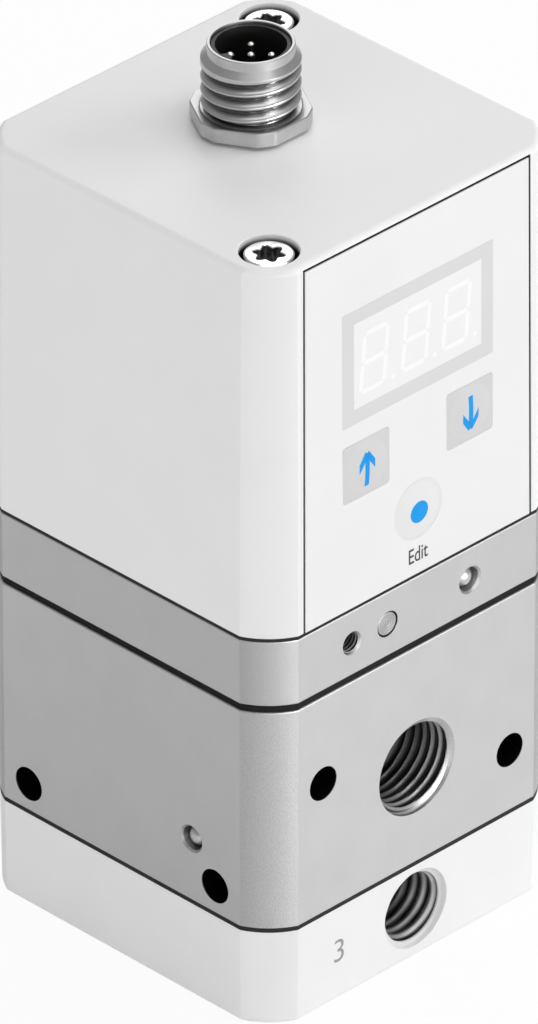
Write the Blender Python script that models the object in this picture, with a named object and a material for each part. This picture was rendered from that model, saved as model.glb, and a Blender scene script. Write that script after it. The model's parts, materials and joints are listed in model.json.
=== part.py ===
"""Electro pneumatic regulator: a proportional pressure regulator with display, keys and round plug.

Metres, +Z up. The origin is the middle of the underside, and the front panel faces -Y.
From the foot up: exhaust cover, valve body, pilot manifold and the electronics housing.
"""
import math

import bpy
from mathutils import Vector

MM = 0.001

# Square column with cut corners
WIDTH = 50.0 * MM
CORNER_CUT = 4.92 * MM
EDGE_CHAMFER = 0.25 * MM

# Heights of the stacked pieces
EXHAUST_COVER_HEIGHT = 13.2 * MM
EXHAUST_GASKET_THICKNESS = 0.4 * MM
BODY_HEIGHT = 30.5 * MM
BODY_GASKET_THICKNESS = 1.0 * MM
MANIFOLD_HEIGHT = 8.9 * MM
COVER_GASKET_THICKNESS = 0.35 * MM
HOUSING_HEIGHT = 50.15 * MM
GASKET_INSET = 0.5 * MM

# Gap between a piece and the one that it sits in or slides in
FIT_GAP = 0.3 * MM
# How far a cutter passes the face that it opens
OVERRUN = 1.0 * MM

# Equal parts that the heights of three pieces are divided into, for what has to fit in them
COVER_PART = EXHAUST_COVER_HEIGHT / 132
BODY_PART = BODY_HEIGHT / 305
HOUSING_PART = HOUSING_HEIGHT / 1003

# Exhaust cover and its threaded bush
EXHAUST_COVER_TAPER = 0.15 * MM
FOOT_ROUND = 0.5 * MM
EXHAUST_CHAMBER_RADIUS = 7.5 * MM
EXHAUST_FLOOR = 30 * COVER_PART
EXHAUST_PORT_HEIGHT = 68 * COVER_PART
EXHAUST_LIP_RADIUS = 53 * COVER_PART
EXHAUST_LIP_DEPTH = 1.0 * MM
BUSH_RADIUS = 57 * COVER_PART
BUSH_LENGTH = 12.0 * MM
EXHAUST_THREAD_MINOR_RADIUS = 42.8 * COVER_PART
EXHAUST_THREAD_CHAMFER = 0.55 * MM

# Working ports and mounting holes of the valve body
PORT_HEIGHT = 13.5 * MM
PORT_RADIUS = 5.72 * MM
PORT_CHAMFER = 0.7 * MM
PORT_DEPTH = 11.5 * MM
SUPPLY_PASSAGE_RADIUS = 30 * BODY_PART
OUTLET_PASSAGE_RADIUS = 25 * BODY_PART
MOUNTING_HOLE_RADIUS = 2.25 * MM
MOUNTING_HOLE_INSET = 9.1 * MM
MOUNTING_HOLE_STEP = 4.85 * MM
SIDE_HOLE_HEIGHT = 3.8 * MM

# Stepped valve bore, from the top of the body down
PISTON_BORE_RADIUS = 12.0 * MM
PISTON_BORE_DEPTH = 91 * BODY_PART
CHAMBER_MARGIN = 1.7 * MM
OUTLET_CHAMBER_HEIGHT = 55 * BODY_PART
SEAT_WEB = 20 * BODY_PART
SEAT_LIP_WIDTH = 1.0 * MM
SEAT_LIP_MARGIN = 0.8 * MM
SEAT_LIP_HEIGHT = 6 * BODY_PART
GUIDE_SEAT_LEDGE = 2.0 * MM

# Control piston
PISTON_REST_HEIGHT = 26 * BODY_PART
PISTON_THICKNESS = 50 * BODY_PART
PISTON_STEM_RADIUS = 2.5 * MM
PISTON_HOLLOW_RADIUS = 7.0 * MM
PISTON_HOLLOW_DEPTH = 20 * BODY_PART
PISTON_RING_SECTION = 8.5 * BODY_PART

# Main poppet, its rubber seal, guide and spring
POPPET_SEAL_THICKNESS = 15 * BODY_PART
POPPET_HEAD_THICKNESS = 20 * BODY_PART
POPPET_HEAD_MARGIN = 0.7 * MM
POPPET_TUBE_RADIUS = 3.0 * MM
POPPET_BORE_RADIUS = 1.7 * MM
POPPET_NOZZLE_WALL = 0.7 * MM
POPPET_TAIL = 1.1 * MM
GUIDE_FLANGE_HEIGHT = 34 * BODY_PART
GUIDE_NECK_WALL = 0.9 * MM
GUIDE_NECK_HEIGHT = 23 * BODY_PART
GUIDE_RING_SECTION = 5 * BODY_PART
SPRING_WIRE_RADIUS = 4 * BODY_PART
SPRING_MARGIN = 0.6 * MM
SPRING_TURNS = 3.5

# Internal air channels
CHANNEL_RADIUS = 1.0 * MM
FEED_CHANNEL_INSET = 13.1 * MM
FEED_CHANNEL_HEIGHT = 87 * BODY_PART
FEED_RISER_REACH = 11.5 * MM
OUTLET_RISER_SETBACK = 13.5 * MM
OUTLET_RISER_DEPTH = 76 * BODY_PART
PLUG_BALL_RADIUS = 1.4 * MM
PLUG_BALL_RECESS_CHAMFER = 0.13 * MM

# Pilot manifold
PILOT_CHAMBER_LEDGE = 1.0 * MM
PILOT_CHAMBER_DEPTH = 1.9 * MM
CROSS_CHANNEL_HEIGHT = 4.4 * MM
THREADED_HOLE_OFFSET = -11.1 * MM
THREADED_HOLE_RADIUS = 1.25 * MM
THREADED_HOLE_CHAMFER = 0.3 * MM
THREADED_HOLE_DEPTH = 6.0 * MM
PILOT_SENSOR_OFFSET = -5.1 * MM
OUTLET_SENSOR_OFFSET = 8.85 * MM
PRESSED_PLUG_RADIUS = 1.55 * MM
PRESSED_PLUG_LENGTH = 4.0 * MM
PRESSED_PLUG_DEPTH = 0.15 * MM

# Pilot valves and sensors on the manifold
PILOT_VALVE_WIDTH = 12.0 * MM
PILOT_VALVE_HEIGHT = 26.0 * MM
PILOT_VALVE_BASE_HEIGHT = 5.0 * MM
PILOT_VALVE_COIL_INSET = 0.8 * MM
PILOT_VALVE_ROUND = 1.2 * MM
PILOT_VALVE_OFFSET = 10.0 * MM
PILOT_PORT_OFFSET = 5.0 * MM
PILOT_PORT_INSET = 4.0 * MM
SENSOR_RADIUS = 4.0 * MM
SENSOR_HEIGHT = 6.0 * MM
SENSOR_NIPPLE_RADIUS = 0.7 * MM
SENSOR_NIPPLE_LENGTH = 2.0 * MM

# Electronics housing
HOUSING_DRAFT = 0.45 * MM
HOUSING_ROUND = 0.85 * MM
HOUSING_WALL = 2.2 * MM
HOUSING_ROOF = 3.5 * MM
PANEL_LEDGE = 1.7 * MM
PILLAR_LAP = 0.9 * MM
PILLAR_CLEARANCE = 0.5 * MM
DISH_RADIUS = 13.6 * MM
DISH_DEPTH = 0.4 * MM
SEAT_BOSS_RADIUS = 6.5 * MM
SEAT_BOSS_HEIGHT = 0.8 * MM

# Front panel, display lens and keys
PANEL_SIDE_MARGIN = 6.1 * MM
PANEL_NARROWING = 0.3 * MM
PANEL_THICKNESS = 1.8 * MM
PANEL_TOP_MARGIN = 0.95 * MM
LENS_SHARE = 2 / 3
LENS_HEIGHT = 310 * HOUSING_PART
LENS_FOOT = 503 * HOUSING_PART
FLANGE_OVERLAP = 16 * HOUSING_PART
FLANGE_THICKNESS = 0.6 * MM
KEY_WIDTH = 156 * HOUSING_PART
KEY_ROUND = 18 * HOUSING_PART
KEY_HEIGHT = 373 * HOUSING_PART
SET_KEY_RADIUS = 80 * HOUSING_PART
SET_KEY_HEIGHT = 179 * HOUSING_PART
KEY_TRAVEL = 0.4 * MM
KEY_DOME_MARGIN = 0.4 * MM
KEY_DOME_HEIGHT = 0.2 * MM
WINDOW_CLEARANCE = 0.5 * MM
WINDOW_MARGIN = 60 * HOUSING_PART

# Boards and what they carry
BOARD_THICKNESS = 1.6 * MM
DISPLAY_BOARD_MARGIN = 0.5 * MM
DISPLAY_BOARD_DEPTH = 3.7 * MM
BOARD_PEG_RADIUS = 1.2 * MM
BOARD_PEG_INSET = 2.0 * MM
SWITCH_WIDTH = 6.0 * MM
SWITCH_HEIGHT = 1.5 * MM
PLUNGER_RADIUS = 1.5 * MM
MODULE_SIDE_MARGIN = 1.6 * MM
MODULE_MARGIN = 21 * HOUSING_PART
MAIN_BOARD_INSET = 7.0 * MM
SENSOR_BOARD_LENGTH = 9.0 * MM
SENSOR_INSET = 5.0 * MM
PILOT_VALVE_CLEARANCE = 1.0 * MM
SENSOR_BOARD_THICKNESS = 1.2 * MM
STRIP_WIDTH = 10.0 * MM
STRIP_THICKNESS = 2.5 * MM

# Round plug connector
CONNECTOR_SETBACK = 3.0 * MM
HEXAGON_LEDGE = 0.85 * MM
HEXAGON_CORNER_SHARE = 0.53
HEXAGON_HEIGHT = 1.9 * MM
BARREL_HEIGHT = 10.4 * MM
THREAD_RADIUS = 6.0 * MM
THREAD_PITCH = 1.75 * MM
THREAD_DEPTH = 0.85 * MM
THREAD_RELIEF = 0.5 * MM
THREAD_RUNOUT = 0.8 * MM
NECK_STEP = 0.75 * MM
NECK_HEIGHT = 1.25 * MM
NECK_WALL = 0.425 * MM
SOCKET_STEP = 0.325 * MM
SHANK_LENGTH = 8.8 * MM
SHANK_WALL = 0.6 * MM
SOCKET_STEP_HEIGHT = 1.3 * MM
INSERT_CUP_WALL = 0.4 * MM
INSERT_FLOOR = 2.0 * MM
INSERT_RIM_DEPTH = 0.8 * MM
CODING_KEY_DEPTH = 0.7 * MM
PIN_RADIUS = 0.5 * MM
PIN_CIRCLE_SHARE = 0.508
PIN_TIP_DEPTH = 1.75 * MM
PIN_POINT = 0.25 * MM
PIN_TAIL = 1.0 * MM
PIN_COUNT = 5
NUT_LEDGE = 1.0 * MM
NUT_CORNER_SHARE = 0.556
NUT_HEIGHT = 3.2 * MM
CONNECTOR_RING_SECTION = 0.4 * MM
CONNECTOR_RING_WALL = 1.6 * MM
CONNECTOR_BOARD_THICKNESS = 1.0 * MM
CONNECTOR_BOARD_RADIUS = 7.0 * MM

# Screws
COVER_SCREW_INSET = 5.9 * MM
COVER_SCREW_RADIUS = 2.0 * MM
COVER_SCREW_HEAD_RADIUS = 3.05 * MM
COVER_SCREW_HEAD_HEIGHT = 2.2 * MM
COVER_SCREW_RECESS_MARGIN = 0.6 * MM
COVER_SCREW_RECESS_DEPTH = 2.6 * MM
COVER_SCREW_FLOOR = 1.9 * MM
LOBE_REACH = 1.93 * MM
LOBE_WAIST = 1.38 * MM
LOBE_DEPTH = 1.8 * MM
BASE_SCREW_INSET = 5.1 * MM
BASE_SCREW_RADIUS = 1.25 * MM
BASE_SCREW_HEAD_RADIUS = 2.25 * MM
BASE_SCREW_HEAD_HEIGHT = 2.5 * MM
BASE_SCREW_RECESS_DEPTH = 3.0 * MM
BASE_SCREW_SOCKET_WIDTH = 2.0 * MM
BASE_SCREW_SOCKET_DEPTH = 1.3 * MM
ASSEMBLY_SCREW_GRIP = 5.5 * MM
BASE_SCREW_GRIP = 8.0 * MM
SCREW_POINT = 0.4 * MM

# Levels and offsets that follow from the sizes above
HALF_WIDTH = WIDTH / 2
GUIDE_NECK_RADIUS = POPPET_TUBE_RADIUS + FIT_GAP + GUIDE_NECK_WALL
SPRING_RADIUS = GUIDE_NECK_RADIUS + SPRING_MARGIN + SPRING_WIRE_RADIUS
POPPET_NOZZLE_RADIUS = POPPET_BORE_RADIUS + POPPET_NOZZLE_WALL
POPPET_HEAD_RADIUS = SPRING_RADIUS + SPRING_WIRE_RADIUS + POPPET_HEAD_MARGIN
SEAT_RADIUS = POPPET_HEAD_RADIUS - SEAT_LIP_MARGIN - SEAT_LIP_WIDTH
CHAMBER_RADIUS = POPPET_HEAD_RADIUS + CHAMBER_MARGIN
GUIDE_SEAT_RADIUS = CHAMBER_RADIUS + GUIDE_SEAT_LEDGE
PILOT_CHAMBER_RADIUS = PISTON_BORE_RADIUS - PILOT_CHAMBER_LEDGE
PANEL_WIDTH = WIDTH - 2 * PANEL_SIDE_MARGIN
LENS_WIDTH = PANEL_WIDTH * LENS_SHARE
KEY_OFFSET = (LENS_WIDTH - KEY_WIDTH) / 2
WINDOW_SIDE = LENS_WIDTH / 2 + FLANGE_OVERLAP + WINDOW_CLEARANCE
HEXAGON_WIDTH = 2 * (THREAD_RADIUS + HEXAGON_LEDGE)
HEXAGON_CORNER_REACH = HEXAGON_WIDTH * HEXAGON_CORNER_SHARE
NECK_RADIUS = THREAD_RADIUS - NECK_STEP
SOCKET_RADIUS = NECK_RADIUS - NECK_WALL
PIN_CIRCLE_RADIUS = SOCKET_RADIUS * PIN_CIRCLE_SHARE
SHANK_RADIUS = SOCKET_RADIUS - SOCKET_STEP + SHANK_WALL
THREAD_START = HEXAGON_HEIGHT + THREAD_RELIEF
NUT_WIDTH = 2 * (SHANK_RADIUS + FIT_GAP + CONNECTOR_RING_WALL + NUT_LEDGE)
NUT_CORNER_REACH = NUT_WIDTH * NUT_CORNER_SHARE
COVER_SCREW_RECESS_RADIUS = COVER_SCREW_HEAD_RADIUS + COVER_SCREW_RECESS_MARGIN
COVER_SCREW_GRIP = MANIFOLD_HEIGHT - COVER_SCREW_FLOOR
PILLAR_RADIUS = COVER_SCREW_INSET - HOUSING_WALL + PILLAR_LAP
CORNER_RADIUS = math.hypot(HALF_WIDTH, HALF_WIDTH - CORNER_CUT)
BODY_FOOT = EXHAUST_COVER_HEIGHT + EXHAUST_GASKET_THICKNESS
BODY_TOP = BODY_FOOT + BODY_HEIGHT
MANIFOLD_FOOT = BODY_TOP + BODY_GASKET_THICKNESS
MANIFOLD_TOP = MANIFOLD_FOOT + MANIFOLD_HEIGHT
HOUSING_FOOT = MANIFOLD_TOP + COVER_GASKET_THICKNESS
HOUSING_TOP = HOUSING_FOOT + HOUSING_HEIGHT
PORT_LEVEL = BODY_FOOT + PORT_HEIGHT
PISTON_BORE_FLOOR = BODY_TOP - PISTON_BORE_DEPTH
SEAT_TOP = PISTON_BORE_FLOOR - OUTLET_CHAMBER_HEIGHT
SEAT_UNDERSIDE = SEAT_TOP - SEAT_WEB
SEAT_FACE = SEAT_UNDERSIDE - SEAT_LIP_HEIGHT
POPPET_TOP = SEAT_FACE - FIT_GAP
HEAD_TOP = POPPET_TOP - POPPET_SEAL_THICKNESS
HEAD_UNDERSIDE = HEAD_TOP - POPPET_HEAD_THICKNESS
GUIDE_FLANGE_TOP = BODY_FOOT + GUIDE_FLANGE_HEIGHT
CROSS_CHANNEL_LEVEL = MANIFOLD_FOOT + CROSS_CHANNEL_HEIGHT
PANEL_SEAT = -HALF_WIDTH + PANEL_THICKNESS
HOUSING_FRONT_INSIDE = PANEL_SEAT + PANEL_LEDGE
DISPLAY_BOARD_FACE = PANEL_SEAT + DISPLAY_BOARD_DEPTH
WINDOW_FOOT = HOUSING_FOOT + WINDOW_MARGIN
WINDOW_TOP = HOUSING_FOOT + LENS_FOOT + LENS_HEIGHT + FLANGE_OVERLAP + FIT_GAP
MAIN_BOARD_FOOT = MANIFOLD_TOP + PILOT_VALVE_HEIGHT
MAIN_BOARD_TOP = MAIN_BOARD_FOOT + BOARD_THICKNESS
CONNECTOR_SEAT = HOUSING_TOP + SEAT_BOSS_HEIGHT
ROOF_UNDERSIDE = HOUSING_TOP - HOUSING_ROOF
COVER_SCREW_PLACE = HALF_WIDTH - COVER_SCREW_INSET
BASE_SCREW_PLACE = HALF_WIDTH - BASE_SCREW_INSET
MOUNTING_HOLE_PLACE = HALF_WIDTH - MOUNTING_HOLE_INSET
FEED_CHANNEL_PLACE = -HALF_WIDTH + FEED_CHANNEL_INSET
FEED_CHANNEL_LEVEL = BODY_FOOT + FEED_CHANNEL_HEIGHT
BOARD_REACH = COVER_SCREW_PLACE - PILLAR_RADIUS - PILLAR_CLEARANCE
BOARD_PEG_OFFSET = BOARD_REACH - BOARD_PEG_INSET
SENSOR_SETBACK = BOARD_REACH - SENSOR_INSET
PILOT_VALVE_FRONT = -BOARD_REACH
PILOT_VALVE_BACK = SENSOR_SETBACK - SENSOR_RADIUS - PILOT_VALVE_CLEARANCE
PILOT_PORT_PLACE = PILOT_VALVE_BACK - PILOT_PORT_INSET

# How finely round forms are divided
CORNER_STEPS = 4
FINE_STEPS = 36
ROUND_STEPS = 20
SHAPED_STEPS = 24
SMALL_STEPS = 16
SCREW_STEPS = 12
TINY_STEPS = 8
RING_SIDES = 6
ROWS_PER_PITCH = 5
BALL_ROWS = 6


class Finish:
    """Colour, roughness and metallic value of one material."""

    def __init__(self, name, colour, roughness, metallic=0.0):
        """Keep the values until the material is made."""
        self.material = bpy.data.materials.new(name)
        self.material.use_nodes = True
        shader = self.material.node_tree.nodes["Principled BSDF"]
        shader.inputs["Base Color"].default_value = (*colour, 1.0)
        shader.inputs["Roughness"].default_value = roughness
        shader.inputs["Metallic"].default_value = metallic


def clear_scene():
    """Remove every object of the start scene."""
    for item in list(bpy.data.objects):
        bpy.data.objects.remove(item, do_unlink=True)


def new_object(name, points, faces, finish=None, place=(0, 0, 0), parent=None):
    """Make an object from points and faces, with its origin at the given place in its parent."""
    mesh = bpy.data.meshes.new(name)
    mesh.from_pydata(points, [], faces)
    mesh.validate()
    mesh.shade_smooth()
    mesh.set_sharp_from_angle(angle=math.radians(35))
    item = bpy.data.objects.new(name, mesh)
    item.location = place
    item.parent = parent
    bpy.context.scene.collection.objects.link(item)
    if finish is not None:
        mesh.materials.append(finish.material)
    return item


def new_empty(name, place, parent=None):
    """Make an empty that marks an axis or carries a group of pieces."""
    item = bpy.data.objects.new(name, None)
    item.location = place
    item.parent = parent
    item.empty_display_size = 0.005
    bpy.context.scene.collection.objects.link(item)
    return item


def band(lower, upper):
    """Faces between two rows of point numbers; a row of one point is a pole."""
    count = max(len(lower), len(upper))
    faces = []
    for step in range(count):
        following = (step + 1) % count
        if len(lower) == 1:
            faces.append((lower[0], upper[following], upper[step]))
        elif len(upper) == 1:
            faces.append((lower[step], lower[following], upper[0]))
        else:
            faces.append((lower[step], lower[following], upper[following], upper[step]))
    return faces


def turned(name, rings, segments, finish=None, looped=False, **placing):
    """Body turned about its Z axis from rings of (radius, height).

    The rings run up the outside, and a looped body's rings run on down its bore. A radius is a
    number or a function of the angle, and a radius of zero closes the body in a point.
    """
    points = []
    rows = []
    for radius, height in rings:
        if radius == 0:
            rows.append([len(points)])
            points.append((0.0, 0.0, height))
            continue
        row = []
        for step in range(segments):
            angle = math.tau * step / segments
            reach = radius(angle) if callable(radius) else radius
            row.append(len(points))
            points.append((reach * math.cos(angle), reach * math.sin(angle), height))
        rows.append(row)
    pairs = list(zip(rows, rows[1:]))
    if looped:
        pairs.append((rows[-1], rows[0]))
    faces = [face for lower, upper in pairs for face in band(lower, upper)]
    if not looped:
        if len(rows[0]) > 1:
            faces.append(tuple(reversed(rows[0])))
        if len(rows[-1]) > 1:
            faces.append(tuple(rows[-1]))
    return new_object(name, points, faces, finish, **placing)


def lofted(name, sections, finish=None, **placing):
    """Closed body through plan outlines with equal numbers of points, given as (outline, height)."""
    points = []
    rows = []
    for outline, height in sections:
        rows.append(range(len(points), len(points) + len(outline)))
        points += [(x, y, height) for x, y in outline]
    faces = [tuple(reversed(rows[0])), tuple(rows[-1])]
    for lower, upper in zip(rows, rows[1:]):
        for a, b, c, d in band(lower, upper):
            faces += [(a, b, c), (a, c, d)]
    return new_object(name, points, faces, finish, **placing)


def slab(name, low, high, finish=None, parent=None):
    """Rectangular block between two corners, with its origin at its middle."""
    low = Vector(low)
    high = Vector(high)
    half = (high - low) / 2
    outline = [(-half.x, -half.y), (half.x, -half.y), (half.x, half.y), (-half.x, half.y)]
    return lofted(name, [(outline, -half.z), (outline, half.z)], finish,
                  place=(low + high) / 2, parent=parent)


def coil(name, radius, wire_radius, height, turns, finish, **placing):
    """Round wire wound about the Z axis from height zero up."""
    steps = round(turns * SCREW_STEPS)
    points = []
    rows = []
    for step in range(steps + 1):
        angle = math.tau * turns * step / steps
        rows.append(range(len(points), len(points) + RING_SIDES))
        for side in range(RING_SIDES):
            lean = -math.tau * side / RING_SIDES
            reach = radius + wire_radius * math.cos(lean)
            rise = height * step / steps + wire_radius * math.sin(lean)
            points.append((reach * math.cos(angle), reach * math.sin(angle), rise))
    faces = [face for lower, upper in zip(rows, rows[1:]) for face in band(lower, upper)]
    faces += [tuple(reversed(rows[0])), tuple(rows[-1])]
    return new_object(name, points, faces, finish, **placing)


def hidden_tool(item):
    """Mark an object as a tool that shapes another and isn't part of the model."""
    item.hide_render = True
    item.display_type = "WIRE"


def combine(target, tool, operation):
    """Shape the target with the tool by a Boolean modifier."""
    hidden_tool(tool)
    modifier = target.modifiers.new(tool.name, "BOOLEAN")
    modifier.operation = operation
    modifier.object = tool
    modifier.solver = "EXACT"


def cut(target, tool):
    """Take the tool's shape out of the target."""
    combine(target, tool, "DIFFERENCE")


def fuse(target, tool):
    """Add the tool's shape to the target."""
    combine(target, tool, "UNION")


def drill(target, start, end, radius, segments=TINY_STEPS, chamfer=0.0):
    """Drill a round hole from one point to another, with an optional chamfer at its start."""
    start = Vector(start)
    run = Vector(end) - start
    rings = [(radius, 0.0), (radius, run.length)]
    if chamfer:
        wide = radius + chamfer
        rings = [(wide, -OVERRUN), (wide, 0.0), (radius, chamfer), (radius, run.length)]
    tool = turned(target.name + "_drill", rings, segments, place=start)
    tool.rotation_euler = run.to_track_quat("Z", "Y").to_euler()
    cut(target, tool)


def column_outline(inset=0.0):
    """Plan outline of the column: a square with its corners on a circle about the axis."""
    half = HALF_WIDTH - inset
    radius = CORNER_RADIUS - inset
    start = math.acos(half / radius)
    span = math.pi / 2 - 2 * start
    points = []
    for quarter in range(4):
        for step in range(CORNER_STEPS + 1):
            angle = quarter * math.pi / 2 + start + span * step / CORNER_STEPS
            points.append((radius * math.cos(angle), radius * math.sin(angle)))
    return points


def hollow_outline(wall, front, pillar_radius):
    """Plan outline of the housing's hollow: two corners give way to screw pillars.

    The wall is measured from the column's faces, and front is the hollow's front face.
    """
    side = HALF_WIDTH - wall
    corner = CORNER_RADIUS - wall
    front_left = pillar_arc((-COVER_SCREW_PLACE, -COVER_SCREW_PLACE), -side, front, pillar_radius)
    back_right = pillar_arc((COVER_SCREW_PLACE, COVER_SCREW_PLACE), side, side, pillar_radius)
    front_right = corner_arc(corner, (math.sqrt(corner ** 2 - front ** 2), front),
                             (side, -math.sqrt(corner ** 2 - side ** 2)))
    back_left = corner_arc(corner, (-math.sqrt(corner ** 2 - side ** 2), side),
                           (-side, math.sqrt(corner ** 2 - side ** 2)))
    return front_left + front_right + back_right + back_left


def corner_arc(radius, first, last):
    """Points on a circle about the axis between two points, counter-clockwise."""
    start = math.atan2(first[1], first[0])
    span = (math.atan2(last[1], last[0]) - start) % math.tau
    steps = [start + span * step / CORNER_STEPS for step in range(CORNER_STEPS + 1)]
    return [(radius * math.cos(angle), radius * math.sin(angle)) for angle in steps]


def pillar_arc(middle, wall_x, wall_y, radius):
    """Points round a pillar's inner side, from one wall of the hollow to the other."""
    away_x = wall_x - middle[0]
    away_y = wall_y - middle[1]
    on_x_wall = math.atan2(math.copysign(math.sqrt(radius ** 2 - away_x ** 2), -away_y), away_x)
    on_y_wall = math.atan2(away_y, math.copysign(math.sqrt(radius ** 2 - away_y ** 2), -away_x))
    span = (on_y_wall - on_x_wall) % -math.tau
    steps = [on_x_wall + span * step / CORNER_STEPS for step in range(CORNER_STEPS + 1)]
    return [(middle[0] + radius * math.cos(angle), middle[1] + radius * math.sin(angle)) for angle in steps]


def hexagon(width, corner_reach):
    """Radius of a hexagon with cut corners as a function of the angle."""
    def reach(angle):
        turn = angle % (math.pi / 3) - math.pi / 6
        return min(width / 2 / math.cos(turn), corner_reach)
    return reach


def rounded_square(width, corner_round):
    """Radius of a square with rounded corners as a function of the angle."""
    half = width / 2
    side = half - corner_round

    def reach(angle):
        turn = abs((angle + math.pi / 4) % (math.pi / 2) - math.pi / 4)
        if half * math.tan(turn) <= side:
            return half / math.cos(turn)
        across = side * (math.cos(turn) - math.sin(turn))
        return side * (math.cos(turn) + math.sin(turn)) + math.sqrt(corner_round ** 2 - across ** 2)
    return reach


def six_lobes(reach_out, waist):
    """Radius of a six-lobed screw recess as a function of the angle."""
    return lambda angle: (reach_out + waist + (reach_out - waist) * math.cos(6 * angle)) / 2


def housing_inset(level):
    """How far the drafted housing wall stands in from the column's face at a level."""
    return HOUSING_DRAFT * (level - HOUSING_FOOT) / HOUSING_HEIGHT


def base_screw_places():
    """Plan places of the two long screws and then of the two short ones."""
    place = BASE_SCREW_PLACE
    return [(-place, place), (place, -place), (-place, -place), (place, place)]


def cover_screw_places():
    """Plan places of the two cover screws, front left and back right."""
    return [(-COVER_SCREW_PLACE, -COVER_SCREW_PLACE), (COVER_SCREW_PLACE, COVER_SCREW_PLACE)]


def build_exhaust_cover(finish):
    """White foot with the exhaust chamber, the port's bore and four screw recesses."""
    cover = lofted("exhaust_cover", [
        (column_outline(EXHAUST_COVER_TAPER + FOOT_ROUND), 0.0),
        (column_outline(EXHAUST_COVER_TAPER + FOOT_ROUND * 0.3), FOOT_ROUND * 0.3),
        (column_outline(EXHAUST_COVER_TAPER), FOOT_ROUND),
        (column_outline(), EXHAUST_COVER_HEIGHT)], finish)
    cut(cover, turned("exhaust_chamber", [
        (EXHAUST_CHAMBER_RADIUS, EXHAUST_FLOOR),
        (EXHAUST_CHAMBER_RADIUS, EXHAUST_COVER_HEIGHT + OVERRUN)], ROUND_STEPS))
    level = EXHAUST_PORT_HEIGHT
    bore_start = -HALF_WIDTH + EXHAUST_LIP_DEPTH
    drill(cover, (0, bore_start, level), (0, -EXHAUST_CHAMBER_RADIUS / 2, level),
          BUSH_RADIUS + FIT_GAP, ROUND_STEPS)
    drill(cover, (0, -HALF_WIDTH - OVERRUN, level), (0, bore_start + OVERRUN, level),
          EXHAUST_LIP_RADIUS, ROUND_STEPS)
    for x, y in base_screw_places():
        drill(cover, (x, y, -OVERRUN), (x, y, BASE_SCREW_RECESS_DEPTH), BASE_SCREW_HEAD_RADIUS + FIT_GAP,
              SMALL_STEPS)
        drill(cover, (x, y, BASE_SCREW_RECESS_DEPTH - OVERRUN), (x, y, EXHAUST_COVER_HEIGHT + OVERRUN),
              BASE_SCREW_RADIUS + FIT_GAP)
    return cover


def build_exhaust_bush(finish):
    """Threaded bush that makes the exhaust port, pushed in from the chamber against the lip."""
    mouth = EXHAUST_THREAD_MINOR_RADIUS + EXHAUST_THREAD_CHAMFER
    bush = turned("exhaust_port_bush", [
        (BUSH_RADIUS, -BUSH_LENGTH),
        (BUSH_RADIUS, 0.0),
        (mouth, 0.0),
        (EXHAUST_THREAD_MINOR_RADIUS, -EXHAUST_THREAD_CHAMFER),
        (EXHAUST_THREAD_MINOR_RADIUS, -BUSH_LENGTH)], ROUND_STEPS, finish, looped=True,
        place=(0, -HALF_WIDTH + EXHAUST_LIP_DEPTH, EXHAUST_PORT_HEIGHT))
    bush.rotation_euler.x = math.pi / 2
    return bush


def build_exhaust_gasket(finish):
    """Flat gasket between exhaust cover and valve body, which also carries the poppet guide."""
    outline = column_outline(GASKET_INSET)
    gasket = lofted("exhaust_gasket", [(outline, 0.0), (outline, EXHAUST_GASKET_THICKNESS)], finish,
                    place=(0, 0, EXHAUST_COVER_HEIGHT))
    drill(gasket, (0, 0, EXHAUST_COVER_HEIGHT - OVERRUN), (0, 0, BODY_FOOT + OVERRUN),
          EXHAUST_CHAMBER_RADIUS, ROUND_STEPS)
    for x, y in base_screw_places():
        drill(gasket, (x, y, EXHAUST_COVER_HEIGHT - OVERRUN), (x, y, BODY_FOOT + OVERRUN),
              BASE_SCREW_RADIUS + FIT_GAP)
    return gasket


def build_valve_body(finish):
    """Aluminium body: stepped valve bore, two working ports, mounting holes and air channels."""
    body = lofted("valve_body", [
        (column_outline(EDGE_CHAMFER / 2), BODY_FOOT),
        (column_outline(), BODY_FOOT + EDGE_CHAMFER / 2),
        (column_outline(), BODY_TOP - EDGE_CHAMFER),
        (column_outline(EDGE_CHAMFER), BODY_TOP)], finish)
    cut(body, turned("valve_bore", [
        (GUIDE_SEAT_RADIUS, BODY_FOOT - OVERRUN),
        (GUIDE_SEAT_RADIUS, GUIDE_FLANGE_TOP + FIT_GAP),
        (CHAMBER_RADIUS, GUIDE_FLANGE_TOP + FIT_GAP),
        (CHAMBER_RADIUS, SEAT_UNDERSIDE),
        (SEAT_RADIUS + SEAT_LIP_WIDTH, SEAT_UNDERSIDE),
        (SEAT_RADIUS + SEAT_LIP_WIDTH, SEAT_FACE),
        (SEAT_RADIUS, SEAT_FACE),
        (SEAT_RADIUS, SEAT_TOP),
        (CHAMBER_RADIUS, SEAT_TOP),
        (CHAMBER_RADIUS, PISTON_BORE_FLOOR),
        (PISTON_BORE_RADIUS, PISTON_BORE_FLOOR),
        (PISTON_BORE_RADIUS, BODY_TOP + OVERRUN)], ROUND_STEPS))
    cut_working_ports(body)
    cut_mounting_holes(body)
    cut_body_channels(body)
    for index, (x, y) in enumerate(base_screw_places()):
        end = BODY_TOP + OVERRUN if index < 2 else BODY_FOOT + BASE_SCREW_GRIP + OVERRUN
        drill(body, (x, y, BODY_FOOT - OVERRUN), (x, y, end), BASE_SCREW_RADIUS + FIT_GAP)
    return body


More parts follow.
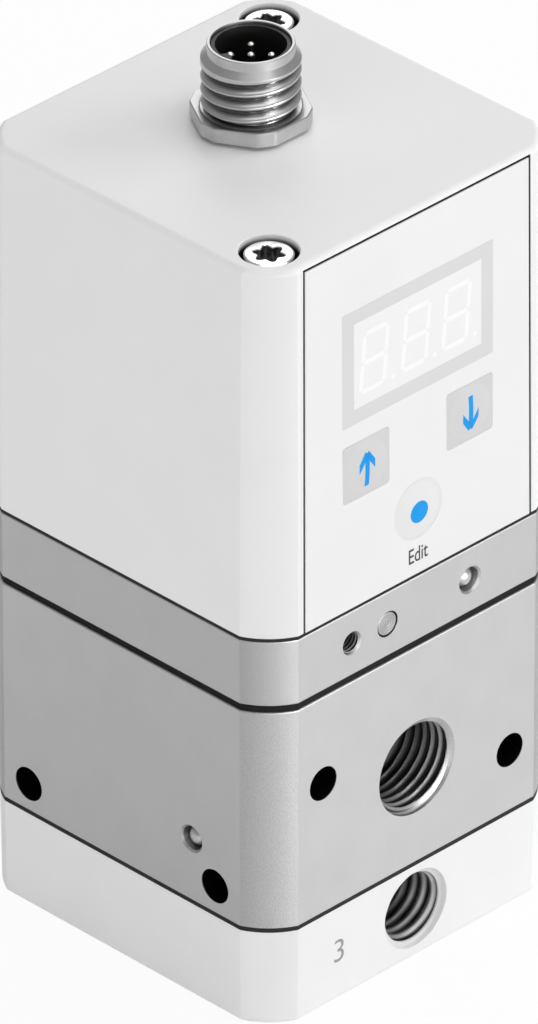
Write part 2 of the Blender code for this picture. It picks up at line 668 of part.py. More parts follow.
def cut_working_ports(body):
    """Supply port at the front into the lower chamber, outlet port at the back into the upper one."""
    supply_level = SEAT_UNDERSIDE - SUPPLY_PASSAGE_RADIUS - FIT_GAP
    outlet_level = SEAT_TOP + OUTLET_PASSAGE_RADIUS + FIT_GAP
    for side, level, radius in ((-1, supply_level, SUPPLY_PASSAGE_RADIUS),
                                (1, outlet_level, OUTLET_PASSAGE_RADIUS)):
        face = side * HALF_WIDTH
        bottom = face - side * PORT_DEPTH
        drill(body, (0, face, PORT_LEVEL), (0, bottom, PORT_LEVEL), PORT_RADIUS, ROUND_STEPS, PORT_CHAMFER)
        drill(body, (0, bottom + side * OVERRUN, level), (0, side * CHAMBER_RADIUS * 0.8, level), radius,
              SMALL_STEPS)


def cut_mounting_holes(body):
    """Two holes through from front to back and two from side to side."""
    reach = HALF_WIDTH + OVERRUN
    place = MOUNTING_HOLE_PLACE
    for x, level in ((-place, PORT_LEVEL + MOUNTING_HOLE_STEP), (place, PORT_LEVEL - MOUNTING_HOLE_STEP)):
        drill(body, (x, -reach, level), (x, reach, level), MOUNTING_HOLE_RADIUS, SMALL_STEPS)
    for y in (-place, place):
        level = BODY_FOOT + SIDE_HOLE_HEIGHT
        drill(body, (-reach, y, level), (reach, y, level), MOUNTING_HOLE_RADIUS, SMALL_STEPS)


def cut_body_channels(body):
    """Pilot feed from the supply passage to the manifold, and the outlet's riser to its sensor."""
    y = FEED_CHANNEL_PLACE
    level = FEED_CHANNEL_LEVEL
    recess = PLUG_BALL_RADIUS + FIT_GAP
    drill(body, (-HALF_WIDTH + recess, y, level), (-SUPPLY_PASSAGE_RADIUS / 2, y, level), CHANNEL_RADIUS)
    drill(body, (-HALF_WIDTH, y, level), (-HALF_WIDTH + 2 * recess, y, level), recess, SMALL_STEPS,
          PLUG_BALL_RECESS_CHAMFER)
    drill(body, (-FEED_RISER_REACH, y, level), (-FEED_RISER_REACH, y, BODY_TOP + OVERRUN), CHANNEL_RADIUS)
    riser_foot = Vector((OUTLET_SENSOR_OFFSET, -OUTLET_RISER_SETBACK, BODY_TOP - OUTLET_RISER_DEPTH))
    drill(body, riser_foot, (riser_foot.x, riser_foot.y, BODY_TOP + OVERRUN), CHANNEL_RADIUS)
    drill(body, riser_foot, riser_foot * 0.6 + Vector((0, 0, riser_foot.z * 0.4)), CHANNEL_RADIUS)


def ball(name, radius, place, finish):
    """Steel ball pressed into a drilling as a plug."""
    turns = [math.pi * step / BALL_ROWS for step in range(1, BALL_ROWS)]
    rings = [(radius * math.sin(turn), -radius * math.cos(turn)) for turn in turns]
    return turned(name, [(0, -radius), *rings, (0, radius)], TINY_STEPS, finish, place=place)


def build_body_gasket(finish):
    """Black gasket between valve body and pilot manifold."""
    outline = column_outline(GASKET_INSET)
    gasket = lofted("body_gasket", [(outline, 0.0), (outline, BODY_GASKET_THICKNESS)], finish,
                    place=(0, 0, BODY_TOP))
    openings = [((0, 0), PISTON_BORE_RADIUS, ROUND_STEPS)]
    openings += [(place, BASE_SCREW_RADIUS + FIT_GAP, TINY_STEPS) for place in base_screw_places()[:2]]
    openings += [((-FEED_RISER_REACH, FEED_CHANNEL_PLACE), CHANNEL_RADIUS, TINY_STEPS),
                 ((OUTLET_SENSOR_OFFSET, -OUTLET_RISER_SETBACK), CHANNEL_RADIUS, TINY_STEPS)]
    for (x, y), radius, segments in openings:
        drill(gasket, (x, y, BODY_TOP - OVERRUN), (x, y, MANIFOLD_FOOT + OVERRUN), radius, segments)
    return gasket


def build_pilot_manifold(finish):
    """Plate that ties the pilot valves and sensors to the pilot chamber over the piston."""
    plate = lofted("pilot_manifold", [
        (column_outline(EDGE_CHAMFER / 2), MANIFOLD_FOOT),
        (column_outline(), MANIFOLD_FOOT + EDGE_CHAMFER / 2),
        (column_outline(), MANIFOLD_TOP - EDGE_CHAMFER),
        (column_outline(EDGE_CHAMFER), MANIFOLD_TOP)], finish)
    chamber_top = MANIFOLD_FOOT + PILOT_CHAMBER_DEPTH
    above = MANIFOLD_TOP + OVERRUN
    drill(plate, (0, 0, MANIFOLD_FOOT - OVERRUN), (0, 0, chamber_top), PILOT_CHAMBER_RADIUS, ROUND_STEPS)
    cut_manifold_front(plate)
    upright = [(-FEED_RISER_REACH, FEED_CHANNEL_PLACE, MANIFOLD_FOOT - OVERRUN),
               (-PILOT_PORT_OFFSET, PILOT_PORT_PLACE, chamber_top - OVERRUN),
               (PILOT_PORT_OFFSET, PILOT_PORT_PLACE, chamber_top - OVERRUN),
               (PILOT_SENSOR_OFFSET, SENSOR_SETBACK, chamber_top - OVERRUN),
               (OUTLET_SENSOR_OFFSET, SENSOR_SETBACK, CROSS_CHANNEL_LEVEL)]
    for x, y, foot in upright:
        drill(plate, (x, y, foot), (x, y, above), CHANNEL_RADIUS)
    drill(plate, (OUTLET_SENSOR_OFFSET, -OUTLET_RISER_SETBACK, MANIFOLD_FOOT - OVERRUN),
          (OUTLET_SENSOR_OFFSET, -OUTLET_RISER_SETBACK, CROSS_CHANNEL_LEVEL), CHANNEL_RADIUS)
    for x, y in base_screw_places()[:2]:
        drill(plate, (x, y, MANIFOLD_FOOT - OVERRUN), (x, y, MANIFOLD_FOOT + ASSEMBLY_SCREW_GRIP + OVERRUN),
              BASE_SCREW_RADIUS + FIT_GAP)
    for x, y in cover_screw_places():
        drill(plate, (x, y, above), (x, y, MANIFOLD_TOP - COVER_SCREW_GRIP - OVERRUN),
              COVER_SCREW_RADIUS + FIT_GAP)
    return plate


def cut_manifold_front(plate):
    """Threaded hole, pressed plug's seat and ball plug's recess in the manifold's front face."""
    face = -HALF_WIDTH
    level = CROSS_CHANNEL_LEVEL
    drill(plate, (THREADED_HOLE_OFFSET, face, level),
          (THREADED_HOLE_OFFSET, face + THREADED_HOLE_DEPTH, level),
          THREADED_HOLE_RADIUS, SMALL_STEPS, THREADED_HOLE_CHAMFER)
    for x in (PILOT_SENSOR_OFFSET, OUTLET_SENSOR_OFFSET):
        drill(plate, (x, face + OVERRUN, level), (x, SENSOR_SETBACK, level), CHANNEL_RADIUS)
    drill(plate, (PILOT_SENSOR_OFFSET, face - OVERRUN, level),
          (PILOT_SENSOR_OFFSET, face + PRESSED_PLUG_DEPTH + PRESSED_PLUG_LENGTH, level),
          PRESSED_PLUG_RADIUS + FIT_GAP, SMALL_STEPS)
    recess = PLUG_BALL_RADIUS + FIT_GAP
    drill(plate, (OUTLET_SENSOR_OFFSET, face, level), (OUTLET_SENSOR_OFFSET, face + 2 * recess, level),
          recess, SMALL_STEPS, PLUG_BALL_RECESS_CHAMFER)


def build_manifold_plugs(plug_finish, ball_finish):
    """Pressed plug and ball that close the manifold's cross drillings, and the body's ball."""
    plug = turned("manifold_plug", [
        (PRESSED_PLUG_RADIUS, -PRESSED_PLUG_LENGTH),
        (PRESSED_PLUG_RADIUS, -EDGE_CHAMFER),
        (PRESSED_PLUG_RADIUS - EDGE_CHAMFER, 0.0)], SMALL_STEPS, plug_finish,
        place=(PILOT_SENSOR_OFFSET, -HALF_WIDTH + PRESSED_PLUG_DEPTH, CROSS_CHANNEL_LEVEL))
    plug.rotation_euler.x = math.pi / 2
    sink = PLUG_BALL_RADIUS + FIT_GAP
    ball("manifold_ball", PLUG_BALL_RADIUS,
         (OUTLET_SENSOR_OFFSET, -HALF_WIDTH + sink, CROSS_CHANNEL_LEVEL), ball_finish)
    ball("body_ball", PLUG_BALL_RADIUS,
         (-HALF_WIDTH + sink, FEED_CHANNEL_PLACE, FEED_CHANNEL_LEVEL), ball_finish)


def build_piston(finish, rubber, parent):
    """Control piston with its stem down to the poppet, and its seal ring."""
    foot = PISTON_BORE_FLOOR + PISTON_REST_HEIGHT - SEAT_FACE
    top = foot + PISTON_THICKNESS
    middle = (foot + top) / 2
    radius = PISTON_BORE_RADIUS - FIT_GAP
    groove_half = PISTON_RING_SECTION + FIT_GAP
    ring_radius = radius - PISTON_RING_SECTION - EDGE_CHAMFER
    groove_radius = ring_radius - PISTON_RING_SECTION - FIT_GAP
    turned("control_piston", [
        (PISTON_STEM_RADIUS - EDGE_CHAMFER, 0.0),
        (PISTON_STEM_RADIUS, EDGE_CHAMFER),
        (PISTON_STEM_RADIUS, foot),
        (radius, foot),
        (radius, middle - groove_half),
        (groove_radius, middle - groove_half),
        (groove_radius, middle + groove_half),
        (radius, middle + groove_half),
        (radius, top),
        (PISTON_HOLLOW_RADIUS, top),
        (PISTON_HOLLOW_RADIUS, top - PISTON_HOLLOW_DEPTH)], ROUND_STEPS, finish, parent=parent)
    ring("piston_seal", ring_radius, PISTON_RING_SECTION, rubber, place=(0, 0, middle), parent=parent)


def ring(name, radius, section_radius, finish, **placing):
    """Seal ring of round section about the Z axis."""
    rings = []
    for side in range(RING_SIDES):
        angle = math.tau * side / RING_SIDES
        rings.append((radius + section_radius * math.cos(angle), section_radius * math.sin(angle)))
    return turned(name, rings, ROUND_STEPS, finish, looped=True, **placing)


def build_poppet(finish, rubber, parent):
    """Hollow main poppet and its rubber seal; heights are counted from the seat's face."""
    top = POPPET_TOP - SEAT_FACE
    head_top = HEAD_TOP - SEAT_FACE
    head_underside = HEAD_UNDERSIDE - SEAT_FACE
    tail = BODY_FOOT - POPPET_TAIL - SEAT_FACE
    turned("main_poppet", [
        (POPPET_TUBE_RADIUS, tail),
        (POPPET_TUBE_RADIUS, head_underside),
        (POPPET_HEAD_RADIUS, head_underside),
        (POPPET_HEAD_RADIUS, head_top),
        (POPPET_NOZZLE_RADIUS, head_top),
        (POPPET_NOZZLE_RADIUS, top),
        (POPPET_BORE_RADIUS, top),
        (POPPET_BORE_RADIUS, tail)], ROUND_STEPS, finish, looped=True, parent=parent)
    turned("poppet_seal", [
        (POPPET_HEAD_RADIUS - EDGE_CHAMFER, head_top),
        (POPPET_HEAD_RADIUS - EDGE_CHAMFER, top),
        (POPPET_NOZZLE_RADIUS + FIT_GAP, top),
        (POPPET_NOZZLE_RADIUS + FIT_GAP, head_top)], ROUND_STEPS, rubber, looped=True, parent=parent)


def build_poppet_guide(finish, rubber, steel):
    """Guide bush under the poppet with its seal ring, and the spring that shuts the poppet."""
    radius = GUIDE_SEAT_RADIUS - FIT_GAP
    bore = POPPET_TUBE_RADIUS + FIT_GAP
    middle = GUIDE_FLANGE_HEIGHT / 2
    groove_half = GUIDE_RING_SECTION + FIT_GAP
    ring_radius = radius - GUIDE_RING_SECTION - FIT_GAP / 3
    groove_radius = ring_radius - GUIDE_RING_SECTION - FIT_GAP
    turned("poppet_guide", [
        (radius, 0.0),
        (radius, middle - groove_half),
        (groove_radius, middle - groove_half),
        (groove_radius, middle + groove_half),
        (radius, middle + groove_half),
        (radius, GUIDE_FLANGE_HEIGHT),
        (GUIDE_NECK_RADIUS, GUIDE_FLANGE_HEIGHT),
        (GUIDE_NECK_RADIUS, GUIDE_FLANGE_HEIGHT + GUIDE_NECK_HEIGHT),
        (bore, GUIDE_FLANGE_HEIGHT + GUIDE_NECK_HEIGHT),
        (bore, 0.0)], ROUND_STEPS, finish, looped=True, place=(0, 0, BODY_FOOT))
    ring("guide_seal", ring_radius, GUIDE_RING_SECTION, rubber, place=(0, 0, BODY_FOOT + middle))
    lift = FIT_GAP + SPRING_WIRE_RADIUS
    coil("poppet_spring", SPRING_RADIUS, SPRING_WIRE_RADIUS, HEAD_UNDERSIDE - GUIDE_FLANGE_TOP - 2 * lift,
         SPRING_TURNS, steel, place=(0, 0, GUIDE_FLANGE_TOP + lift))


def build_cover_gasket(finish):
    """Thin frame gasket under the housing, with pads round the cover screws."""
    outline = column_outline(GASKET_INSET)
    gasket = lofted("cover_gasket", [(outline, 0.0), (outline, COVER_GASKET_THICKNESS)], finish,
                    place=(0, 0, MANIFOLD_TOP))
    hollow = hollow_outline(HOUSING_WALL, HOUSING_FRONT_INSIDE, PILLAR_RADIUS)
    cut(gasket, lofted("gasket_opening", [
        (hollow, MANIFOLD_TOP - OVERRUN),
        (hollow, HOUSING_FOOT + OVERRUN)]))
    for x, y in cover_screw_places():
        drill(gasket, (x, y, MANIFOLD_TOP - OVERRUN), (x, y, HOUSING_FOOT + OVERRUN),
              COVER_SCREW_RADIUS + FIT_GAP)
    return gasket


def build_housing(finish):
    """White housing: drafted walls, rounded roof edge, screw pillars and the panel's pocket."""
    quarter_steps = 3
    sections = [(column_outline(), HOUSING_FOOT)]
    for step in range(quarter_steps + 1):
        turn = math.pi / 2 * step / quarter_steps
        level = HOUSING_TOP - HOUSING_ROUND * (1 - math.sin(turn))
        sections.append((column_outline(housing_inset(level) + HOUSING_ROUND * (1 - math.cos(turn))), level))
    housing = lofted("housing_cover", sections, finish)
    roof_wall = HOUSING_WALL + housing_inset(ROOF_UNDERSIDE)
    cut(housing, lofted("housing_hollow", [
        (hollow_outline(HOUSING_WALL, HOUSING_FRONT_INSIDE, PILLAR_RADIUS), HOUSING_FOOT - OVERRUN),
        (hollow_outline(roof_wall, HOUSING_FRONT_INSIDE, PILLAR_RADIUS), ROOF_UNDERSIDE)]))
    cut_panel_pocket(housing)
    shape_connector_seat(housing)
    for x, y in cover_screw_places():
        floor = HOUSING_TOP - COVER_SCREW_RECESS_DEPTH
        drill(housing, (x, y, HOUSING_TOP + OVERRUN), (x, y, floor), COVER_SCREW_RECESS_RADIUS, ROUND_STEPS)
        drill(housing, (x, y, floor + OVERRUN), (x, y, HOUSING_FOOT - OVERRUN),
              COVER_SCREW_RADIUS + FIT_GAP, SMALL_STEPS)
    return housing


def cut_panel_pocket(housing):
    """Pocket that takes the front panel, and the window behind it for display and keys."""
    cut(housing, panel_plate("panel_pocket", FIT_GAP, -HALF_WIDTH - OVERRUN, -HALF_WIDTH - OVERRUN,
                             HOUSING_FOOT - OVERRUN))
    cut(housing, slab("panel_window", (-WINDOW_SIDE, PANEL_SEAT - OVERRUN, WINDOW_FOOT),
                      (WINDOW_SIDE, HOUSING_FRONT_INSIDE + OVERRUN, WINDOW_TOP)))
    for x in (-BOARD_PEG_OFFSET, BOARD_PEG_OFFSET):
        for level in (WINDOW_FOOT - BOARD_PEG_RADIUS - FIT_GAP, WINDOW_TOP + BOARD_PEG_RADIUS + FIT_GAP):
            length = DISPLAY_BOARD_FACE - HOUSING_FRONT_INSIDE + OVERRUN
            peg = turned("board_peg", [(BOARD_PEG_RADIUS, 0.0), (BOARD_PEG_RADIUS, length)], TINY_STEPS,
                         place=(x, DISPLAY_BOARD_FACE, level))
            peg.rotation_euler.x = math.pi / 2
            fuse(housing, peg)


def panel_plate(name, margin, front_foot, front_top, foot, finish=None):
    """Upright plate that narrows upwards, with a leaning front; the margin widens it all round."""
    top = HOUSING_TOP - PANEL_TOP_MARGIN + margin
    half_foot = PANEL_WIDTH / 2 + margin
    half_top = half_foot - PANEL_NARROWING
    back = PANEL_SEAT
    lower = [(-half_foot, front_foot), (half_foot, front_foot), (half_foot, back), (-half_foot, back)]
    upper = [(-half_top, front_top), (half_top, front_top), (half_top, back), (-half_top, back)]
    return lofted(name, [(lower, foot), (upper, top)], finish)


def shape_connector_seat(housing):
    """Shallow dish round the connector, the raised seat in it, its hole and the ring's groove."""
    y = CONNECTOR_SETBACK
    floor = HOUSING_TOP - DISH_DEPTH
    drill(housing, (0, y, HOUSING_TOP + OVERRUN), (0, y, floor), DISH_RADIUS, FINE_STEPS)
    boss = turned("connector_boss", [(SEAT_BOSS_RADIUS, floor - OVERRUN), (SEAT_BOSS_RADIUS, CONNECTOR_SEAT)],
                  ROUND_STEPS, place=(0, y, 0))
    fuse(housing, boss)
    drill(housing, (0, y, CONNECTOR_SEAT + OVERRUN), (0, y, ROOF_UNDERSIDE - OVERRUN),
          SHANK_RADIUS + FIT_GAP, ROUND_STEPS)
    groove_top = ROOF_UNDERSIDE + 2 * (CONNECTOR_RING_SECTION + FIT_GAP)
    drill(housing, (0, y, ROOF_UNDERSIDE - OVERRUN), (0, y, groove_top),
          SHANK_RADIUS + FIT_GAP + CONNECTOR_RING_WALL, ROUND_STEPS)


def build_front_panel(finish, lens_finish):
    """Front panel with openings for the lens and the three keys, and the display lens."""
    front_foot = -HALF_WIDTH
    front_top = -HALF_WIDTH + housing_inset(HOUSING_TOP - PANEL_TOP_MARGIN)
    panel = panel_plate("front_panel", 0.0, front_foot, front_top, HOUSING_FOOT, finish)
    lens_low = HOUSING_FOOT + LENS_FOOT
    half = LENS_WIDTH / 2
    cut(panel, slab("lens_opening", (-half - FIT_GAP, -HALF_WIDTH - OVERRUN, lens_low - FIT_GAP),
                    (half + FIT_GAP, PANEL_SEAT + OVERRUN, lens_low + LENS_HEIGHT + FIT_GAP)))
    for x in (-KEY_OFFSET, KEY_OFFSET):
        opening = rounded_square(KEY_WIDTH + 2 * FIT_GAP, KEY_ROUND + FIT_GAP)
        cut_key_opening(panel, x, HOUSING_FOOT + KEY_HEIGHT, opening)
    cut_key_opening(panel, 0, HOUSING_FOOT + SET_KEY_HEIGHT, SET_KEY_RADIUS + FIT_GAP)
    front = -HALF_WIDTH + housing_inset(lens_low + LENS_HEIGHT)
    flange_back = PANEL_SEAT + FLANGE_THICKNESS
    lens = slab("display_lens", (-half, front, lens_low), (half, PANEL_SEAT + FLANGE_THICKNESS / 2,
                                                             lens_low + LENS_HEIGHT), lens_finish)
    flange = slab("lens_flange", (-half - FLANGE_OVERLAP, PANEL_SEAT, lens_low - FLANGE_OVERLAP),
                  (half + FLANGE_OVERLAP, flange_back, lens_low + LENS_HEIGHT + FLANGE_OVERLAP))
    fuse(lens, flange)


def cut_key_opening(panel, x, level, radius):
    """Opening in the panel round a key."""
    tool = turned("key_opening", [(radius, -OVERRUN), (radius, PANEL_THICKNESS + OVERRUN)], SHAPED_STEPS,
                  place=(x, PANEL_SEAT, level))
    tool.rotation_euler.x = math.pi / 2
    cut(panel, tool)


def build_key(name, x, height, shape, dome, finish):
    """Key cap with its retaining flange behind the panel and a low round dome on its front."""
    level = HOUSING_FOOT + height
    cap_face = HALF_WIDTH - housing_inset(level)
    flange_face = -PANEL_SEAT - FIT_GAP
    cap, flange = shape
    rings = [
        (flange, -FLANGE_THICKNESS),
        (flange, 0.0),
        (cap, 0.0),
        (cap, cap_face - flange_face),
        (dome, cap_face - flange_face),
        (dome / 2, cap_face - flange_face + KEY_DOME_HEIGHT * 0.8),
        (0, cap_face - flange_face + KEY_DOME_HEIGHT)]
    key = turned(name, rings, SHAPED_STEPS, finish, place=(x, -flange_face, level))
    key.rotation_euler.x = math.pi / 2


def build_keys(finish):
    """Up, down and set keys, each with its origin on its own press axis."""
    square = (rounded_square(KEY_WIDTH, KEY_ROUND),
              rounded_square(KEY_WIDTH + 2 * FLANGE_OVERLAP, KEY_ROUND + FLANGE_OVERLAP))
    round_shape = (SET_KEY_RADIUS, SET_KEY_RADIUS + FLANGE_OVERLAP)
    square_dome = KEY_WIDTH / 2 - KEY_DOME_MARGIN
    build_key("key_up", -KEY_OFFSET, KEY_HEIGHT, square, square_dome, finish)
    build_key("key_down", KEY_OFFSET, KEY_HEIGHT, square, square_dome, finish)
    build_key("key_set", 0, SET_KEY_HEIGHT, round_shape, SET_KEY_RADIUS - KEY_DOME_MARGIN, finish)


def build_switch(name, x, height, finish):
    """Key switch on the display board; its plunger ends just short of the pressed key."""
    key_back = PANEL_SEAT + FIT_GAP + FLANGE_THICKNESS + KEY_TRAVEL
    plunger_end = DISPLAY_BOARD_FACE - key_back - FIT_GAP
    case = rounded_square(SWITCH_WIDTH, EDGE_CHAMFER)
    switch = turned(name, [
        (case, 0.0), (case, SWITCH_HEIGHT), (PLUNGER_RADIUS, SWITCH_HEIGHT), (PLUNGER_RADIUS, plunger_end)],
        SMALL_STEPS, finish,
        place=(x, DISPLAY_BOARD_FACE, HOUSING_FOOT + height))
    switch.rotation_euler.x = math.pi / 2


def build_display(board_finish, module_finish, switch_finish, strip_finish):
    """Display board on its pegs, with the display module, the switches and the link to the main board."""
    foot = HOUSING_FOOT + DISPLAY_BOARD_MARGIN
    back = DISPLAY_BOARD_FACE + BOARD_THICKNESS
    top = WINDOW_TOP + WINDOW_MARGIN - DISPLAY_BOARD_MARGIN
    slab("display_board", (-BOARD_REACH, DISPLAY_BOARD_FACE, foot), (BOARD_REACH, back, top), board_finish)
    module_half = LENS_WIDTH / 2 - MODULE_SIDE_MARGIN
    module_foot = HOUSING_FOOT + LENS_FOOT + MODULE_MARGIN
    slab("display_module", (-module_half, PANEL_SEAT + FLANGE_THICKNESS + FIT_GAP, module_foot),
         (module_half, DISPLAY_BOARD_FACE, module_foot + LENS_HEIGHT - 2 * MODULE_MARGIN), module_finish)
    for name, x, height in (("switch_up", -KEY_OFFSET, KEY_HEIGHT), ("switch_down", KEY_OFFSET, KEY_HEIGHT),
                            ("switch_set", 0, SET_KEY_HEIGHT)):
        build_switch(name, x, height, switch_finish)
    slab("display_link", (-STRIP_WIDTH / 2, back, MAIN_BOARD_TOP),
         (STRIP_WIDTH / 2, STRIP_THICKNESS - BOARD_REACH, MAIN_BOARD_TOP + STRIP_THICKNESS), strip_finish)


def build_pilot_valve(name, x, finish):
    """Pilot solenoid valve: flanged base and coil housing with rounded edges."""
    reach_x = PILOT_VALVE_WIDTH / 2
    reach_y = (PILOT_VALVE_BACK - PILOT_VALVE_FRONT) / 2
    middle = (PILOT_VALVE_BACK + PILOT_VALVE_FRONT) / 2
    slim_x = reach_x - PILOT_VALVE_COIL_INSET
    slim_y = reach_y - PILOT_VALVE_COIL_INSET
    base = rounded_rectangle(reach_x, reach_y, PILOT_VALVE_ROUND)
    case = rounded_rectangle(slim_x, slim_y, PILOT_VALVE_ROUND)
    lofted(name, [
        (base, 0.0), (base, PILOT_VALVE_BASE_HEIGHT),
        (case, PILOT_VALVE_BASE_HEIGHT + PILOT_VALVE_COIL_INSET),
        (case, PILOT_VALVE_HEIGHT)], finish, place=(x, middle, MANIFOLD_TOP))


def rounded_rectangle(reach_x, reach_y, corner_round):
    """Outline of a rectangle with rounded corners, counter-clockwise from the right side."""
    points = []
    for quarter, (side_x, side_y) in enumerate(((1, 1), (-1, 1), (-1, -1), (1, -1))):
        for step in range(3):
            angle = math.pi / 2 * (quarter + step / 2)
            points.append((side_x * (reach_x - corner_round) + corner_round * math.cos(angle),
                           side_y * (reach_y - corner_round) + corner_round * math.sin(angle)))
    return points


def build_sensor(name, x, finish):
    """Pressure sensor can with a nipple that enters the manifold's channel."""
    turned(name, [
        (SENSOR_NIPPLE_RADIUS, -SENSOR_NIPPLE_LENGTH), (SENSOR_NIPPLE_RADIUS, 0.0), (SENSOR_RADIUS, 0.0),
        (SENSOR_RADIUS, SENSOR_HEIGHT)], SCREW_STEPS, finish, place=(x, SENSOR_SETBACK, MANIFOLD_TOP))


def build_control_electronics(finishes):
    """Pilot valves, sensors, sensor board, main board and the strips between the boards."""
    build_pilot_valve("pilot_valve_fill", -PILOT_VALVE_OFFSET, finishes["coil"])
    build_pilot_valve("pilot_valve_vent", PILOT_VALVE_OFFSET, finishes["coil"])
    build_sensor("pilot_sensor", PILOT_SENSOR_OFFSET, finishes["bright"])
    build_sensor("outlet_sensor", OUTLET_SENSOR_OFFSET, finishes["bright"])
    sensor_top = MANIFOLD_TOP + SENSOR_HEIGHT
    board_top = sensor_top + SENSOR_BOARD_THICKNESS
    half_length = SENSOR_BOARD_LENGTH / 2
    slab("sensor_board", (PILOT_SENSOR_OFFSET - SENSOR_RADIUS, SENSOR_SETBACK - half_length, sensor_top),
         (OUTLET_SENSOR_OFFSET + SENSOR_RADIUS, SENSOR_SETBACK + half_length, board_top), finishes["board"])
    link_x = (PILOT_SENSOR_OFFSET + OUTLET_SENSOR_OFFSET) / 2
    slab("sensor_link", (link_x - STRIP_WIDTH / 2, SENSOR_SETBACK, board_top),
         (link_x + STRIP_WIDTH / 2, SENSOR_SETBACK + STRIP_THICKNESS, MAIN_BOARD_FOOT), finishes["strip"])
    main_half = HALF_WIDTH - MAIN_BOARD_INSET
    slab("main_board", (-main_half, -BOARD_REACH, MAIN_BOARD_FOOT), (main_half, BOARD_REACH, MAIN_BOARD_TOP),
         finishes["board"])
    tail = CONNECTOR_SEAT - SHANK_LENGTH - PIN_TAIL
    board_foot = tail - CONNECTOR_BOARD_THICKNESS
    turned("connector_board", [(CONNECTOR_BOARD_RADIUS, board_foot), (CONNECTOR_BOARD_RADIUS, tail)],
           ROUND_STEPS, finishes["board"], place=(0, CONNECTOR_SETBACK, 0))
    slab("connector_link", (-STRIP_WIDTH / 2, CONNECTOR_SETBACK - STRIP_THICKNESS / 2, MAIN_BOARD_TOP),
         (STRIP_WIDTH / 2, CONNECTOR_SETBACK + STRIP_THICKNESS / 2, board_foot), finishes["strip"])


def thread_reach(height):
    """Radius of the connector's barrel as a function of the angle, at a height over its seat."""
    cone_foot = BARREL_HEIGHT - NECK_HEIGHT - (THREAD_RADIUS - NECK_RADIUS)
    cone = THREAD_RADIUS - max(0.0, height - cone_foot)
    fade = min(1.0, max(0.0, (height - THREAD_START) / THREAD_RUNOUT))

    def reach(angle):
        phase = height / THREAD_PITCH - angle / math.tau
        groove = (1 - math.cos(math.tau * phase)) / 2
        return min(cone, THREAD_RADIUS - fade * THREAD_DEPTH * groove ** 0.8)
    return reach


def build_connector_shell(finish, parent):
    """Connector shell in one piece: mounting shank, hexagon, threaded barrel and socket."""
    flange = hexagon(HEXAGON_WIDTH, HEXAGON_CORNER_REACH)
    bore = SHANK_RADIUS - SHANK_WALL
    neck_foot = BARREL_HEIGHT - NECK_HEIGHT
    rows = round((neck_foot - THREAD_START) / THREAD_PITCH * ROWS_PER_PITCH)
    heights = [THREAD_START + (neck_foot - THREAD_START) * row / rows for row in range(rows)]
    rings = [(SHANK_RADIUS, -SHANK_LENGTH), (SHANK_RADIUS, 0.0), (flange, 0.0), (flange, HEXAGON_HEIGHT),
             (THREAD_RADIUS + EDGE_CHAMFER, HEXAGON_HEIGHT)]
    rings += [(thread_reach(height), height) for height in heights]
    rings += [(NECK_RADIUS, neck_foot), (NECK_RADIUS, BARREL_HEIGHT), (SOCKET_RADIUS, BARREL_HEIGHT),
              (SOCKET_RADIUS, SOCKET_STEP_HEIGHT), (bore, SOCKET_STEP_HEIGHT), (bore, -SHANK_LENGTH)]
    return turned("connector_shell", rings, FINE_STEPS, finish, looped=True, parent=parent)


def pin_places():
    """Plan places of the contact pins: one in the middle and four on a circle."""
    places = [(0.0, 0.0)]
    for index in range(PIN_COUNT - 1):
        angle = math.pi / 4 + math.tau * index / (PIN_COUNT - 1)
        places.append((PIN_CIRCLE_RADIUS * math.cos(angle), PIN_CIRCLE_RADIUS * math.sin(angle)))
    return places


def build_connector_insert(finish, pin_finish, parent):
    """Insulating insert with a coding key in its cup, and the contact pins through it."""
    shoulder = SOCKET_STEP_HEIGHT + FIT_GAP
    outer = SOCKET_RADIUS - FIT_GAP
    lower = SHANK_RADIUS - SHANK_WALL - FIT_GAP
    cup = outer - INSERT_CUP_WALL
    rim = BARREL_HEIGHT - INSERT_RIM_DEPTH

    def cup_reach(angle):
        near_key = abs(angle - math.pi) < math.pi / ROUND_STEPS
        return cup - (CODING_KEY_DEPTH if near_key else 0.0)

    insert = turned("connector_insert", [
        (lower, -SHANK_LENGTH), (lower, shoulder), (outer, shoulder), (outer, rim), (cup_reach, rim),
        (cup_reach, INSERT_FLOOR)], ROUND_STEPS, finish, parent=parent)
    for index, (x, y) in enumerate(pin_places()):
        hole = turned("pin_hole", [(PIN_RADIUS + FIT_GAP, -SHANK_LENGTH - OVERRUN),
                                   (PIN_RADIUS + FIT_GAP, INSERT_FLOOR + OVERRUN)], TINY_STEPS,
                      place=(x, y, 0), parent=parent)
        cut(insert, hole)
        tip = BARREL_HEIGHT - PIN_TIP_DEPTH
        turned(f"contact_pin_{index + 1}", [
            (PIN_RADIUS, -SHANK_LENGTH - PIN_TAIL), (PIN_RADIUS, tip - PIN_POINT),
            (PIN_RADIUS - PIN_POINT, tip)], TINY_STEPS, pin_finish, place=(x, y, 0), parent=parent)


def build_connector_fixing(finish, rubber, parent):
    """Nut inside the housing and the seal ring in the groove over it."""
    nut = hexagon(NUT_WIDTH, NUT_CORNER_REACH)
    bore = SHANK_RADIUS + FIT_GAP
    roof = ROOF_UNDERSIDE - CONNECTOR_SEAT
    turned("connector_nut", [(nut, roof - NUT_HEIGHT), (nut, roof), (bore, roof), (bore, roof - NUT_HEIGHT)],
           SHAPED_STEPS, finish, looped=True, parent=parent)
    radius = SHANK_RADIUS + FIT_GAP + CONNECTOR_RING_WALL - FIT_GAP - CONNECTOR_RING_SECTION
    ring("connector_seal", radius, CONNECTOR_RING_SECTION, rubber,
         place=(0, 0, roof + FIT_GAP + CONNECTOR_RING_SECTION), parent=parent)


